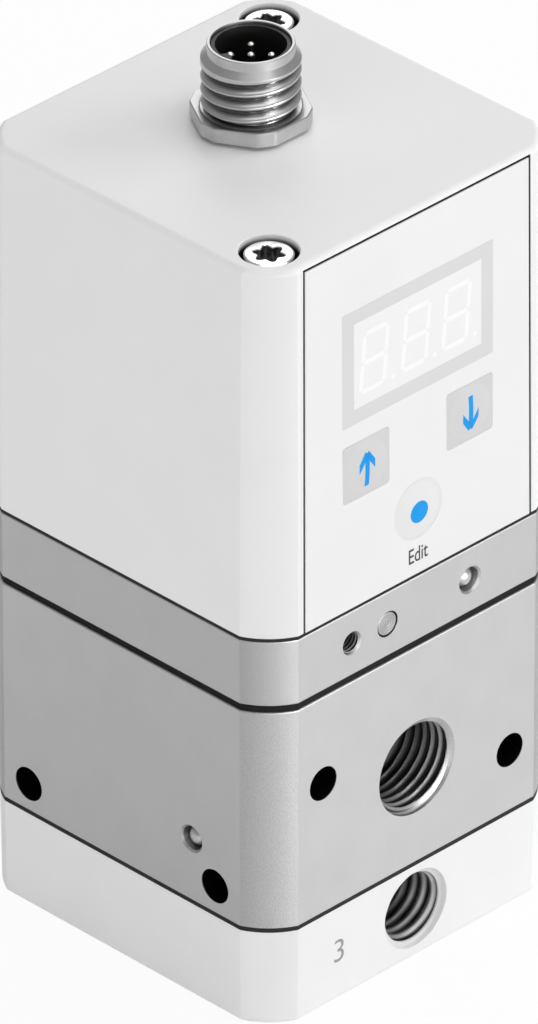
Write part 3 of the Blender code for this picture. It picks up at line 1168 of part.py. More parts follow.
def cap_screw(name, radius, length, head, socket, socket_depth, segments, finish, place):
    """Screw whose origin is under its head; head is (radius, height) and socket its recess's radius."""
    head_radius, head_height = head
    return turned(name, [
        (radius - SCREW_POINT, -length),
        (radius, SCREW_POINT - length),
        (radius, 0.0),
        (head_radius, 0.0),
        (head_radius, head_height - EDGE_CHAMFER),
        (head_radius - EDGE_CHAMFER, head_height),
        (socket, head_height),
        (socket, head_height - socket_depth)], segments, finish, place=place)


def build_screws(bright, plain):
    """Two cover screws from above, two long assembly screws and two short ones from below."""
    floor = HOUSING_TOP - COVER_SCREW_RECESS_DEPTH
    lobes = six_lobes(LOBE_REACH, LOBE_WAIST)
    cover_head = (COVER_SCREW_HEAD_RADIUS, COVER_SCREW_HEAD_HEIGHT)
    for name, (x, y) in zip(("cover_screw_front", "cover_screw_back"), cover_screw_places()):
        cap_screw(name, COVER_SCREW_RADIUS, floor - MANIFOLD_TOP + COVER_SCREW_GRIP, cover_head,
                  lobes, LOBE_DEPTH, SHAPED_STEPS, bright, (x, y, floor))
    head = (BASE_SCREW_HEAD_RADIUS, BASE_SCREW_HEAD_HEIGHT)
    socket = hexagon(BASE_SCREW_SOCKET_WIDTH, BASE_SCREW_SOCKET_WIDTH)
    long = MANIFOLD_FOOT + ASSEMBLY_SCREW_GRIP - BASE_SCREW_RECESS_DEPTH
    short = BODY_FOOT + BASE_SCREW_GRIP - BASE_SCREW_RECESS_DEPTH
    names = ("assembly_screw_left", "assembly_screw_right", "base_screw_left", "base_screw_right")
    for name, length, (x, y) in zip(names, (long, long, short, short), base_screw_places()):
        screw = cap_screw(name, BASE_SCREW_RADIUS, length, head, socket, BASE_SCREW_SOCKET_DEPTH,
                          SCREW_STEPS, plain, (x, y, BASE_SCREW_RECESS_DEPTH))
        screw.rotation_euler.x = math.pi


def make_finishes():
    """The finishes of the whole regulator by name."""
    return {
        "white": Finish("white_plastic", (0.82, 0.82, 0.82), 0.45),
        "aluminium": Finish("blasted_aluminium", (0.58, 0.58, 0.58), 0.42, 1.0),
        "dark": Finish("dark_bush", (0.12, 0.12, 0.12), 0.4, 0.8),
        "rubber": Finish("black_rubber", (0.012, 0.012, 0.012), 0.7),
        "panel": Finish("panel_film", (0.86, 0.86, 0.86), 0.35),
        "lens": Finish("display_window", (0.80, 0.80, 0.80), 0.2),
        "key": Finish("key_film", (0.72, 0.72, 0.72), 0.4),
        "bright": Finish("bright_steel", (0.75, 0.75, 0.74), 0.25, 1.0),
        "nickel": Finish("nickel_plate", (0.62, 0.62, 0.61), 0.28, 1.0),
        "contact": Finish("plated_contacts", (0.80, 0.79, 0.76), 0.25, 1.0),
        "black": Finish("black_plastic", (0.02, 0.02, 0.02), 0.5),
        "brass": Finish("turned_brass", (0.70, 0.53, 0.25), 0.35, 1.0),
        "board": Finish("circuit_board", (0.03, 0.16, 0.07), 0.5),
        "strip": Finish("pin_strip", (0.03, 0.03, 0.03), 0.5),
        "coil": Finish("coil_housing", (0.10, 0.10, 0.11), 0.5),
    }


def build_regulator():
    """Build every piece in stack order."""
    finishes = make_finishes()
    build_exhaust_cover(finishes["white"])
    build_exhaust_bush(finishes["dark"])
    build_exhaust_gasket(finishes["rubber"])
    build_valve_body(finishes["aluminium"])
    build_body_gasket(finishes["rubber"])
    build_pilot_manifold(finishes["aluminium"])
    build_manifold_plugs(finishes["bright"], finishes["bright"])
    seat = new_empty("seat_axis", (0, 0, SEAT_FACE))
    build_piston(finishes["aluminium"], finishes["rubber"], seat)
    build_poppet(finishes["brass"], finishes["rubber"], seat)
    build_poppet_guide(finishes["brass"], finishes["rubber"], finishes["bright"])
    build_cover_gasket(finishes["rubber"])
    build_housing(finishes["white"])
    build_front_panel(finishes["panel"], finishes["lens"])
    build_keys(finishes["key"])
    build_display(finishes["board"], finishes["black"], finishes["black"], finishes["strip"])
    build_control_electronics(finishes)
    connector = new_empty("connector_axis", (0, CONNECTOR_SETBACK, CONNECTOR_SEAT))
    build_connector_shell(finishes["nickel"], connector)
    build_connector_insert(finishes["black"], finishes["contact"], connector)
    build_connector_fixing(finishes["nickel"], finishes["rubber"], connector)
    build_screws(finishes["bright"], finishes["bright"])


clear_scene()
build_regulator()
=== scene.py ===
"""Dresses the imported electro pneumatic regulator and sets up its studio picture."""
from __future__ import annotations

import json
import logging
import math
from dataclasses import dataclass, replace
from enum import Enum
from typing import Callable, Iterable, Sequence, Union

import bpy
from mathutils import Matrix, Vector


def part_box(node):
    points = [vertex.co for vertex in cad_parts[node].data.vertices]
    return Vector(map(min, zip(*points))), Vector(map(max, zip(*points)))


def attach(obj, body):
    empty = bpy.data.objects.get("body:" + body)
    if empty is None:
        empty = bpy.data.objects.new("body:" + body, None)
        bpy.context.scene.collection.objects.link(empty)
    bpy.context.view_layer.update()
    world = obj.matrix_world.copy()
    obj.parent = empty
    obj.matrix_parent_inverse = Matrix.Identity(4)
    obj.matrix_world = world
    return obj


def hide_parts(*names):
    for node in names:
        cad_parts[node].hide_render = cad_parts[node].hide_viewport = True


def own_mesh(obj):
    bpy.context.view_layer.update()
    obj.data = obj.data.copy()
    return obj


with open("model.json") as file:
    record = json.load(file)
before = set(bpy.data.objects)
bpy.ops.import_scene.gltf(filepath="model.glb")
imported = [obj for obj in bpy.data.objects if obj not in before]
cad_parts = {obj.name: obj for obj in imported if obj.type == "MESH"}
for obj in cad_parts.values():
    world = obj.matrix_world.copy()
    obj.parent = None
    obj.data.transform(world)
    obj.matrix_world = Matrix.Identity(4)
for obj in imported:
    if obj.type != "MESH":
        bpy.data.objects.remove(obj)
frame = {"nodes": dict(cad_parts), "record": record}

LOG = logging.getLogger("regulator")
MM = 0.001
OVERRUN = 1.0 * MM
Radius = Union[float, Callable[[float], float]]
Ring = tuple[Radius, float]
Outline = list[tuple[float, float]]
Tint = tuple[float, float, float]


class Heading(Enum):
    """Direction in which a turned form's own axis points."""

    UP = (0.0, 0.0)
    DOWN = (math.pi, 0.0)
    FRONT = (math.pi / 2, 0.0)
    BACK = (-math.pi / 2, 0.0)
    LEFT = (math.pi / 2, -math.pi / 2)
    RIGHT = (math.pi / 2, math.pi / 2)

    def at(self, place: Sequence[float]) -> Matrix:
        """Transform that puts a form's foot at a place and points its axis this way."""
        tilt, turn = self.value
        return Matrix.Translation(place) @ Matrix.Rotation(turn, 4, "Z") @ Matrix.Rotation(tilt, 4, "X")


class Role(Enum):
    """Parts of the regulator's body tree that a piece can ride on."""

    FIXED = "regulator"
    KEY_UP = "key_up"
    KEY_DOWN = "key_down"
    KEY_SET = "key_set"
    POPPET = "poppet"
    PISTON = "piston"


class Form:
    """A closed solid that is turned, lofted, cut and joined, in the regulator's frame."""

    def __init__(self, name: str, points: Iterable[Sequence[float]], faces: Iterable[Sequence[int]]) -> None:
        """Make the mesh object.

        Args:
            name: Name of the piece.
            points: Corner points in metres.
            faces: Point numbers of each face, counter-clockwise from outside.
        """
        mesh = bpy.data.meshes.new(name)
        mesh.from_pydata([tuple(point) for point in points], [], [tuple(face) for face in faces])
        mesh.validate()
        self.item = bpy.data.objects.new(name, mesh)
        bpy.context.scene.collection.objects.link(self.item)
        self.tools: list[bpy.types.Object] = []

    @staticmethod
    def _band(lower: Sequence[int], upper: Sequence[int]) -> list[tuple[int, ...]]:
        """Faces between two rows of point numbers.

        Args:
            lower: First row, or a single pole point.
            upper: Second row, or a single pole point.

        Returns:
            The faces, facing away from the axis.
        """
        count = max(len(lower), len(upper))
        faces: list[tuple[int, ...]] = []
        for step in range(count):
            following = (step + 1) % count
            if len(lower) == 1:
                faces.append((lower[0], upper[following], upper[step]))
            elif len(upper) == 1:
                faces.append((lower[step], lower[following], upper[0]))
            else:
                faces.append((lower[step], lower[following], upper[following], upper[step]))
        return faces

    @classmethod
    def turned(cls, name: str, rings: Sequence[Ring], segments: int = 64, looped: bool = False,
               place: Matrix | None = None) -> "Form":
        """Turn a profile about an axis.

        Args:
            name: Name of the piece.
            rings: Radius, or radius by angle, and height of each ring, up the outside.
            segments: Number of steps round the axis.
            looped: Whether the rings run on down a bore to the first one.
            place: Transform of the axis, upright at the origin when left out.

        Returns:
            The turned form.
        """
        points: list[Vector] = []
        rows: list[list[int]] = []
        for radius, height in rings:
            if radius == 0:
                rows.append([len(points)])
                points.append(Vector((0.0, 0.0, height)))
                continue
            row = []
            for step in range(segments):
                angle = math.tau * step / segments
                reach = radius(angle) if callable(radius) else radius
                row.append(len(points))
                points.append(Vector((reach * math.cos(angle), reach * math.sin(angle), height)))
            rows.append(row)
        pairs = list(zip(rows, rows[1:]))
        if looped:
            pairs.append((rows[-1], rows[0]))
        faces = [face for lower, upper in pairs for face in cls._band(lower, upper)]
        if not looped and len(rows[0]) > 1:
            faces.append(tuple(reversed(rows[0])))
        if not looped and len(rows[-1]) > 1:
            faces.append(tuple(rows[-1]))
        if place is not None:
            points = [place @ point for point in points]
        return cls(name, points, faces)

    @classmethod
    def lofted(cls, name: str, sections: Sequence[tuple[Outline, float]], place: Matrix | None = None) -> "Form":
        """Loft a closed body through plan outlines.

        Args:
            name: Name of the piece.
            sections: Outline and height of each section, from the foot up.
            place: Transform of the body.

        Returns:
            The lofted form.
        """
        points: list[Vector] = []
        rows: list[range] = []
        for outline, height in sections:
            rows.append(range(len(points), len(points) + len(outline)))
            points += [Vector((x, y, height)) for x, y in outline]
        faces: list[tuple[int, ...]] = [tuple(reversed(rows[0])), tuple(rows[-1])]
        for lower, upper in zip(rows, rows[1:]):
            faces += cls._band(lower, upper)
        if place is not None:
            points = [place @ point for point in points]
        return cls(name, points, faces)

    @classmethod
    def block(cls, name: str, low: Sequence[float], high: Sequence[float]) -> "Form":
        """Rectangular block between two corners."""
        outline = [(low[0], low[1]), (high[0], low[1]), (high[0], high[1]), (low[0], high[1])]
        return cls.lofted(name, [(outline, low[2]), (outline, high[2])])

    def _shape(self, tool: "Form", operation: str) -> "Form":
        """Shape this form with another by a Boolean."""
        modifier = self.item.modifiers.new(tool.item.name, "BOOLEAN")
        modifier.operation = operation
        modifier.solver = "EXACT"
        modifier.object = tool.item
        tool.item.hide_render = True
        self.tools.append(tool.item)
        self.tools += tool.tools
        return self

    def cut(self, *tools: "Form") -> "Form":
        """Take other forms out of this one."""
        for tool in tools:
            self._shape(tool, "DIFFERENCE")
        return self

    def join(self, *tools: "Form") -> "Form":
        """Add other forms to this one."""
        for tool in tools:
            self._shape(tool, "UNION")
        return self

    def drill(self, heading: Heading, mouth: Sequence[float], depth: float, radius: float,
              chamfer: float = 0.0, segments: int = 48) -> "Form":
        """Drill a round hole.

        Args:
            heading: Direction that the hole runs in.
            mouth: Middle of the hole's mouth.
            depth: Depth of the hole.
            radius: Radius of the hole.
            chamfer: Width of the chamfer at the mouth.
            segments: Number of steps round the hole.

        Returns:
            This form.
        """
        rings: list[Ring] = [(radius, -OVERRUN), (radius, depth)]
        if chamfer:
            wide = radius + chamfer
            rings = [(wide, -OVERRUN), (wide, 0.0), (radius, chamfer), (radius, depth)]
        return self.cut(Form.turned(self.item.name + "_drill", rings, segments, place=heading.at(mouth)))

    def done(self, sharp: float = 32.0) -> bpy.types.Object:
        """Apply the shaping, remove the tools and smooth the round faces.

        Args:
            sharp: Angle in degrees above which an edge stays sharp.

        Returns:
            The finished object.
        """
        if self.item.modifiers:
            graph = bpy.context.evaluated_depsgraph_get()
            mesh = bpy.data.meshes.new_from_object(self.item.evaluated_get(graph))
            self.item.modifiers.clear()
            self.item.data = mesh
        for tool in set(self.tools):
            bpy.data.objects.remove(tool, do_unlink=True)
        mesh = self.item.data
        mesh.materials.clear()
        mesh.shade_smooth()
        mesh.set_sharp_from_angle(angle=math.radians(sharp))
        weighted = self.item.modifiers.new("even_shading", "WEIGHTED_NORMAL")
        weighted.keep_sharp = True
        return self.item


class Thread:
    """Screw thread as a radius that changes with angle and height."""

    def __init__(self, root: float, crest: float, pitch: float, sharpness: float = 1.0) -> None:
        """Keep the thread's sizes.

        Args:
            root: Radius at the bottom of the groove, or of the ridge in a bore.
            crest: Radius at the top of the ridge, or of the groove in a bore.
            pitch: Height of one turn.
            sharpness: Above one for narrow crests, below one for narrow roots.
        """
        self.root = root
        self.crest = crest
        self.pitch = pitch
        self.sharpness = sharpness

    def reach(self, height: float, fade: float = 1.0, cap: float = math.inf) -> Callable[[float], float]:
        """Radius by angle at one height.

        Args:
            height: Height along the thread's axis.
            fade: Share of the thread's depth that is cut here.
            cap: Largest radius allowed here.

        Returns:
            Function from angle to radius.
        """
        def radius(angle: float) -> float:
            """Radius at one angle."""
            phase = height / self.pitch - angle / math.tau
            wave = (1 + math.cos(math.tau * phase)) / 2
            depth = (self.crest - self.root) * (1 - wave ** self.sharpness) * fade
            return min(cap, self.crest - depth)
        return radius

    def bore(self, start: float, end: float, rows_per_turn: int = 8) -> list[Ring]:
        """Rings of a threaded bore between two heights.

        Args:
            start: Height of the first ring.
            end: Height of the last ring.
            rows_per_turn: Rings in one turn of the thread.

        Returns:
            The rings, from the mouth inwards.
        """
        rows = max(2, round((end - start) / self.pitch * rows_per_turn))
        heights = [start + (end - start) * row / rows for row in range(rows + 1)]
        return [(self.reach(height), height) for height in heights]


class Socket:
    """Output of a shader node, with arithmetic that adds Math nodes."""

    def __init__(self, shader: "Shader", link: bpy.types.NodeSocket) -> None:
        """Wrap a node's output.

        Args:
            shader: Material that the node belongs to.
            link: The node's output socket.
        """
        self.shader = shader
        self.link = link

    def _math(self, operation: str, *values: "Socket | float") -> "Socket":
        """Add a Math node on the given values."""
        return self.shader.node("ShaderNodeMath", {"operation": operation}, dict(enumerate(values)))

    def __add__(self, other: "Socket | float") -> "Socket":
        """Sum."""
        return self._math("ADD", self, other)

    __radd__ = __add__

    def __sub__(self, other: "Socket | float") -> "Socket":
        """Difference."""
        return self._math("SUBTRACT", self, other)

    def __rsub__(self, other: "Socket | float") -> "Socket":
        """Difference, reflected."""
        return self._math("SUBTRACT", other, self)

    def __mul__(self, other: "Socket | float") -> "Socket":
        """Product."""
        return self._math("MULTIPLY", self, other)

    __rmul__ = __mul__

    def __abs__(self) -> "Socket":
        """Magnitude."""
        return self._math("ABSOLUTE", self)

    def root(self) -> "Socket":
        """Square root."""
        return self._math("SQRT", self)

    def lesser(self, other: "Socket | float") -> "Socket":
        """Smaller of two values."""
        return self._math("MINIMUM", self, other)

    def greater(self, other: "Socket | float") -> "Socket":
        """Larger of two values."""
        return self._math("MAXIMUM", self, other)

    def wave(self, period: float) -> "Socket":
        """Sine wave of the value with a period."""
        return self._math("SINE", self * (math.tau / period))

    def rise(self, low: float, high: float) -> "Socket":
        """Smooth step from 0 at low to 1 at high."""
        settings = {"interpolation_type": "SMOOTHSTEP"}
        return self.shader.node("ShaderNodeMapRange", settings, {"Value": self, "From Min": low, "From Max": high})


class Shader:
    """Node material under construction."""

    def __init__(self, name: str) -> None:
        """Make a material with its Principled BSDF."""
        self.material = bpy.data.materials.new(name)
        self.material.use_nodes = True
        self.tree = self.material.node_tree
        self.principled = self.tree.nodes["Principled BSDF"]

    def node(self, kind: str, settings: dict[str, object] | None = None,
             inputs: dict[object, object] | None = None, output: int | str = 0) -> Socket:
        """Add a node.

        Args:
            kind: Type name of the node.
            settings: Properties of the node, set first.
            inputs: Values or links of its sockets by name or number.
            output: Name or number of the output that is wanted.

        Returns:
            The wanted output.
        """
        made = self.tree.nodes.new(kind)
        for key, value in (settings or {}).items():
            setattr(made, key, value)
        for key, value in (inputs or {}).items():
            if isinstance(value, Socket):
                self.tree.links.new(value.link, made.inputs[key])
            else:
                made.inputs[key].default_value = value
        return Socket(self, made.outputs[output])

    def place(self, stretch: Tint = (1.0, 1.0, 1.0)) -> Socket:
        """Position on the object in millimetres, stretched along its axes.

        Args:
            stretch: Factor along each axis.

        Returns:
            The position vector.
        """
        spot = self.node("ShaderNodeTexCoord", output="Object")
        factor = tuple(1000.0 * part for part in stretch)
        return self.node("ShaderNodeVectorMath", {"operation": "MULTIPLY"}, {0: spot, 1: factor})

    def parts(self, vector: Socket) -> tuple[Socket, Socket, Socket]:
        """X, Y and Z of a vector."""
        split = self.tree.nodes.new("ShaderNodeSeparateXYZ")
        self.tree.links.new(vector.link, split.inputs[0])
        return Socket(self, split.outputs[0]), Socket(self, split.outputs[1]), Socket(self, split.outputs[2])

    def facing(self) -> tuple[Socket, Socket, Socket]:
        """X, Y and Z of the surface's normal on the object."""
        return self.parts(self.node("ShaderNodeTexCoord", output="Normal"))

    def noise(self, size: float, detail: float = 2.0, stretch: Tint = (1.0, 1.0, 1.0)) -> Socket:
        """Noise around 0.5 with features of a size in millimetres."""
        return self.node("ShaderNodeTexNoise", None,
                         {"Vector": self.place(stretch), "Scale": 1.0 / size, "Detail": detail})

    def blend(self, first: Tint | Socket, second: Tint | Socket, share: Socket) -> Socket:
        """Colour between two colours.

        Args:
            first: Colour where the share is 0.
            second: Colour where the share is 1.
            share: Factor of the mix.

        Returns:
            The mixed colour.
        """
        ends = [end if isinstance(end, Socket) else (*end, 1.0) for end in (first, second)]
        return self.node("ShaderNodeMix", {"data_type": "RGBA"}, {0: share, 6: ends[0], 7: ends[1]}, 2)

    def darkened(self, colour: Socket, bores: Iterable["Bore"], dark: Tint = (0.03, 0.03, 0.03)) -> Socket:
        """Colour with painted shade inside bores.

        Args:
            colour: Colour outside the bores.
            bores: The bores.
            dark: Colour of the painted shade in them.

        Returns:
            The colour.
        """
        for bore in bores:
            colour = self.blend(colour, dark, bore.shade(self))
        return colour

    def bump(self, height: Socket, depth: float, strength: float = 1.0) -> Socket:
        """Normal bent by a height field.

        Args:
            height: Height from 0 to 1.
            depth: Depth of the relief in millimetres.
            strength: Share of the relief that shows.

        Returns:
            The bent normal.
        """
        return self.node("ShaderNodeBump", None,
                         {"Strength": strength, "Distance": depth * MM, "Height": height})

    def surface(self, **values: object) -> bpy.types.Material:
        """Set the surface's values or links by socket name, with _ for a space, and return the material."""
        for key, value in values.items():
            socket = self.principled.inputs[key.replace("_", " ")]
            if isinstance(value, Socket):
                self.tree.links.new(value.link, socket)
            elif isinstance(value, tuple):
                socket.default_value = (*value, 1.0)
            else:
                socket.default_value = value
        return self.material


class Axis(Enum):
    """Axis that a bore runs along, with the two axes that its place is given on."""

    ACROSS = (0, 1, 2)
    BACK = (1, 0, 2)
    DOWN = (2, 0, 1)


@dataclass(frozen=True)
class Bore:
    """Round hole whose inside gets painted shade."""

    axis: Axis
    place: tuple[float, float]
    mouth: float
    radius: float
    ridge: float = 0.0
    clear: float = 0.03 * MM
    fade: float = 0.15 * MM

    def shade(self, shader: Shader) -> Socket:
        """Share of painted shade, from 0 on the outside to 1 in the hole, with the ridges of a thread left lighter.

        Args:
            shader: Material that the nodes are for.

        Returns:
            The share of painted shade.
        """
        along, first, second = (shader.parts(shader.place())[index] for index in self.axis.value)
        off_first = first - self.place[0] / MM
        off_second = second - self.place[1] / MM
        distance = (off_first * off_first + off_second * off_second).root()
        depth = self.mouth / MM - (along if self.axis is Axis.DOWN else abs(along))
        reach = self.radius / MM
        # Painted shade: dark inside the hole past its clear depth; in a thread the ridges stay lighter and all darkens
        # deeper in.
        inside = 1 - distance.rise(reach + 0.1, reach + 0.2)
        dark = inside * depth.rise(self.clear / MM, (self.clear + self.fade) / MM)
        if self.ridge:
            groove = self.radius - self.ridge
            low, high = ((self.ridge + share * groove) / MM for share in (0.2, 0.7))
            deep = inside * depth.rise(0.0, reach) * 0.85
            dark = (dark * distance.rise(low, high)).greater(deep)
        return dark


@dataclass(frozen=True)
class MouldedPlastic:
    """Injection-moulded plastic with an eroded grain."""

    name: str
    colour: Tint
    roughness: float = 0.45
    grain: float = 0.22
    relief: float = 0.006
    shade: float = 0.985
    # Bores whose insides get painted shade, and the colour of that painted shade.
    bores: tuple[Bore, ...] = ()
    bore_shade_colour: Tint = (0.01, 0.01, 0.01)

    def material(self) -> bpy.types.Material:
        """Build the material."""
        shader = Shader(self.name)
        cloud = shader.noise(9.0, 3.0)
        fine = shader.noise(self.grain, 2.0)
        darker = tuple(part * self.shade for part in self.colour)
        tint = shader.blend(darker, self.colour, cloud.rise(0.3, 0.7))
        return shader.surface(
            Base_Color=shader.darkened(tint, self.bores, self.bore_shade_colour),
            Roughness=self.roughness + (fine - 0.5) * 0.12,
            Normal=shader.bump(fine, self.relief))


@dataclass(frozen=True)
class WorkedAluminium:
    """Natural aluminium: finely ground flats and bead-blasted corners."""

    name: str
    colour: Tint
    roughness: float
    corner_roughness: float
    bead: float
    corner_shade: float = 0.82
    # Bores whose insides get painted shade.
    bores: tuple[Bore, ...] = ()

    def material(self) -> bpy.types.Material:
        """Build the material."""
        shader = Shader(self.name)
        across, along, _ = shader.facing()
        corner = abs(across).lesser(abs(along)).rise(0.2, 0.36)
        hairs = shader.noise(0.12, 2.0, (1.0, 1.0, 0.03))
        beads = shader.noise(self.bead, 3.0)
        cloud = shader.noise(6.0, 2.0)
        height = hairs * (1 - corner) * 0.12 + beads * corner
        duller = tuple(part * 0.93 for part in self.colour)
        tone = hairs.rise(0.2, 0.8) * 0.35 + cloud.rise(0.3, 0.7) * 0.35
        # Painted shade: the corners get a darker base colour than the flats, by corner_shade; the speckle on it is the
        # blasted finish.
        blasted = tuple(part * self.corner_shade for part in self.colour)
        speckled = shader.blend(tuple(part * 0.86 for part in blasted), blasted, beads.rise(0.35, 0.6))
        spread = self.corner_roughness - self.roughness
        plain = shader.blend(shader.blend(duller, self.colour, tone), speckled, corner)
        return shader.surface(
            Base_Color=shader.darkened(plain, self.bores),
            Metallic=1.0,
            Roughness=self.roughness + corner * spread + (hairs - 0.5) * 0.08,
            Normal=shader.bump(height, 0.03))


class Cut(Enum):
    """How a metal piece was worked, by the axis that its tool marks run round."""

    PLAIN = "plain"
    ROUND_Z = "turned about an upright axis"
    ROUND_Y = "turned about an axis from front to back"


@dataclass(frozen=True)
class TurnedMetal:
    """Turned or plated metal with fine tool rings round its axis."""

    name: str
    colour: Tint
    roughness: float
    cut: Cut = Cut.PLAIN
    axis: tuple[float, float] = (0.0, 0.0)
    ring: float = 0.18
    relief: float = 0.004
    crest: float = 0.0
    root: float = 0.0
    root_shade: float = 0.2
    # Level above which a thread's roots get no painted shade.
    groove_shade_top: float = math.inf
    # Bores whose insides get painted shade, and the colour of that painted shade.
    bores: tuple[Bore, ...] = ()
    bore_shade_colour: Tint = (0.06, 0.06, 0.06)

    def material(self) -> bpy.types.Material:
        """Build the material."""
        shader = Shader(self.name)
        x, y, z = shader.parts(shader.place())
        cloud = shader.noise(2.5, 3.0)
        unshaded: Socket | None = None
        if self.cut is Cut.PLAIN:
            marks = shader.noise(0.25, 2.0)
        else:
            second = y if self.cut is Cut.ROUND_Z else z
            first_off = x - self.axis[0] * 1000
            second_off = second - self.axis[1] * 1000
            distance = (first_off * first_off + second_off * second_off).root()
            marks = (distance + cloud * 0.05).wave(self.ring) * 0.5 + 0.5
            # Painted shade in a thread's roots: the colour darkens towards root_shade between crest and root, only
            # below the given top level.
            if self.crest:
                low, high = sorted((self.crest / MM, self.root / MM))
                unshaded = distance.rise(low, high) if self.crest > self.root else 1 - distance.rise(low, high)
                if self.groove_shade_top < math.inf:
                    unshaded = unshaded.greater(z.rise(self.groove_shade_top / MM, self.groove_shade_top / MM + 0.05))
        duller = tuple(part * 0.9 for part in self.colour)
        tint = shader.blend(duller, self.colour, cloud.rise(0.25, 0.7))
        if unshaded:
            tint = shader.blend(tuple(part * self.root_shade for part in self.colour), tint, unshaded)
        return shader.surface(
            Base_Color=shader.darkened(tint, self.bores, self.bore_shade_colour),
            Metallic=1.0,
            Roughness=self.roughness + (cloud - 0.5) * 0.12 + marks * 0.03,
            Normal=shader.bump(marks, self.relief))


@dataclass(frozen=True)
class SealRubber:
    """Dull black sealing rubber with a faint bloom."""

    name: str
    colour: Tint

    def material(self) -> bpy.types.Material:
        """Build the material."""
        shader = Shader(self.name)
        bloom = shader.noise(1.6, 4.0)
        skin = shader.noise(0.12, 2.0)
        paler = tuple(part * 1.5 + 0.002 for part in self.colour)
        return shader.surface(
            Base_Color=shader.blend(self.colour, paler, bloom.rise(0.45, 0.8)),
            Specular_IOR_Level=0.15,
            Roughness=0.58 + bloom * 0.15,
            Normal=shader.bump(skin, 0.01))


@dataclass(frozen=True)
class PrintedFilm:
    """Printed plastic film with a satin skin."""

    name: str
    colour: Tint
    roughness: float = 0.34
    skin: float = 0.0015
    gloss: float = 0.5

    def material(self) -> bpy.types.Material:
        """Build the material."""
        shader = Shader(self.name)
        fine = shader.noise(0.09, 1.0)
        cloud = shader.noise(14.0, 2.0)
        darker = tuple(part * 0.985 for part in self.colour)
        return shader.surface(
            Base_Color=shader.blend(darker, self.colour, cloud.rise(0.3, 0.7)),
            Specular_IOR_Level=self.gloss,
            Roughness=self.roughness + (fine - 0.5) * 0.1,
            Normal=shader.bump(fine, self.skin))


@dataclass(frozen=True)
class KeyFilm:
    """Film over a round dome, painted a little paler on the dome: a painted highlight."""

    name: str
    flat: Tint
    dome_highlight: Tint
    middle: tuple[float, float]
    dome_radius: float

    def material(self) -> bpy.types.Material:
        """Build the material."""
        shader = Shader(self.name)
        x, _, z = shader.parts(shader.place())
        off_x = x - self.middle[0] * 1000
        off_z = z - self.middle[1] * 1000
        distance = (off_x * off_x + off_z * off_z).root()
        rim = self.dome_radius * 1000
        # Mask of the dome, where the painted highlight goes.
        dome = 1 - distance.rise(rim - 0.25, rim + 0.1)
        fine = shader.noise(0.1, 1.0)
        return shader.surface(
            Base_Color=shader.blend(self.flat, self.dome_highlight, dome),
            Roughness=0.36 + (fine - 0.5) * 0.1,
            Normal=shader.bump(fine, 0.0015))


@dataclass(frozen=True)
class CircuitBoard:
    """Green board with tracks under its varnish."""

    name: str
    colour: Tint

    def material(self) -> bpy.types.Material:
        """Build the material."""
        shader = Shader(self.name)
        x, y, z = shader.parts(shader.place())
        lanes = (x + shader.noise(5.0, 0.0) * 6.0).wave(1.3).rise(0.1, 0.3)
        rungs = (y + z + shader.noise(4.0, 0.0) * 5.0).wave(2.1).rise(0.3, 0.5)
        tracks = lanes * rungs
        paler = tuple(part * 1.6 + 0.01 for part in self.colour)
        return shader.surface(
            Base_Color=shader.blend(self.colour, paler, tracks),
            Roughness=0.42 - tracks * 0.1,
            Normal=shader.bump(tracks, 0.02))


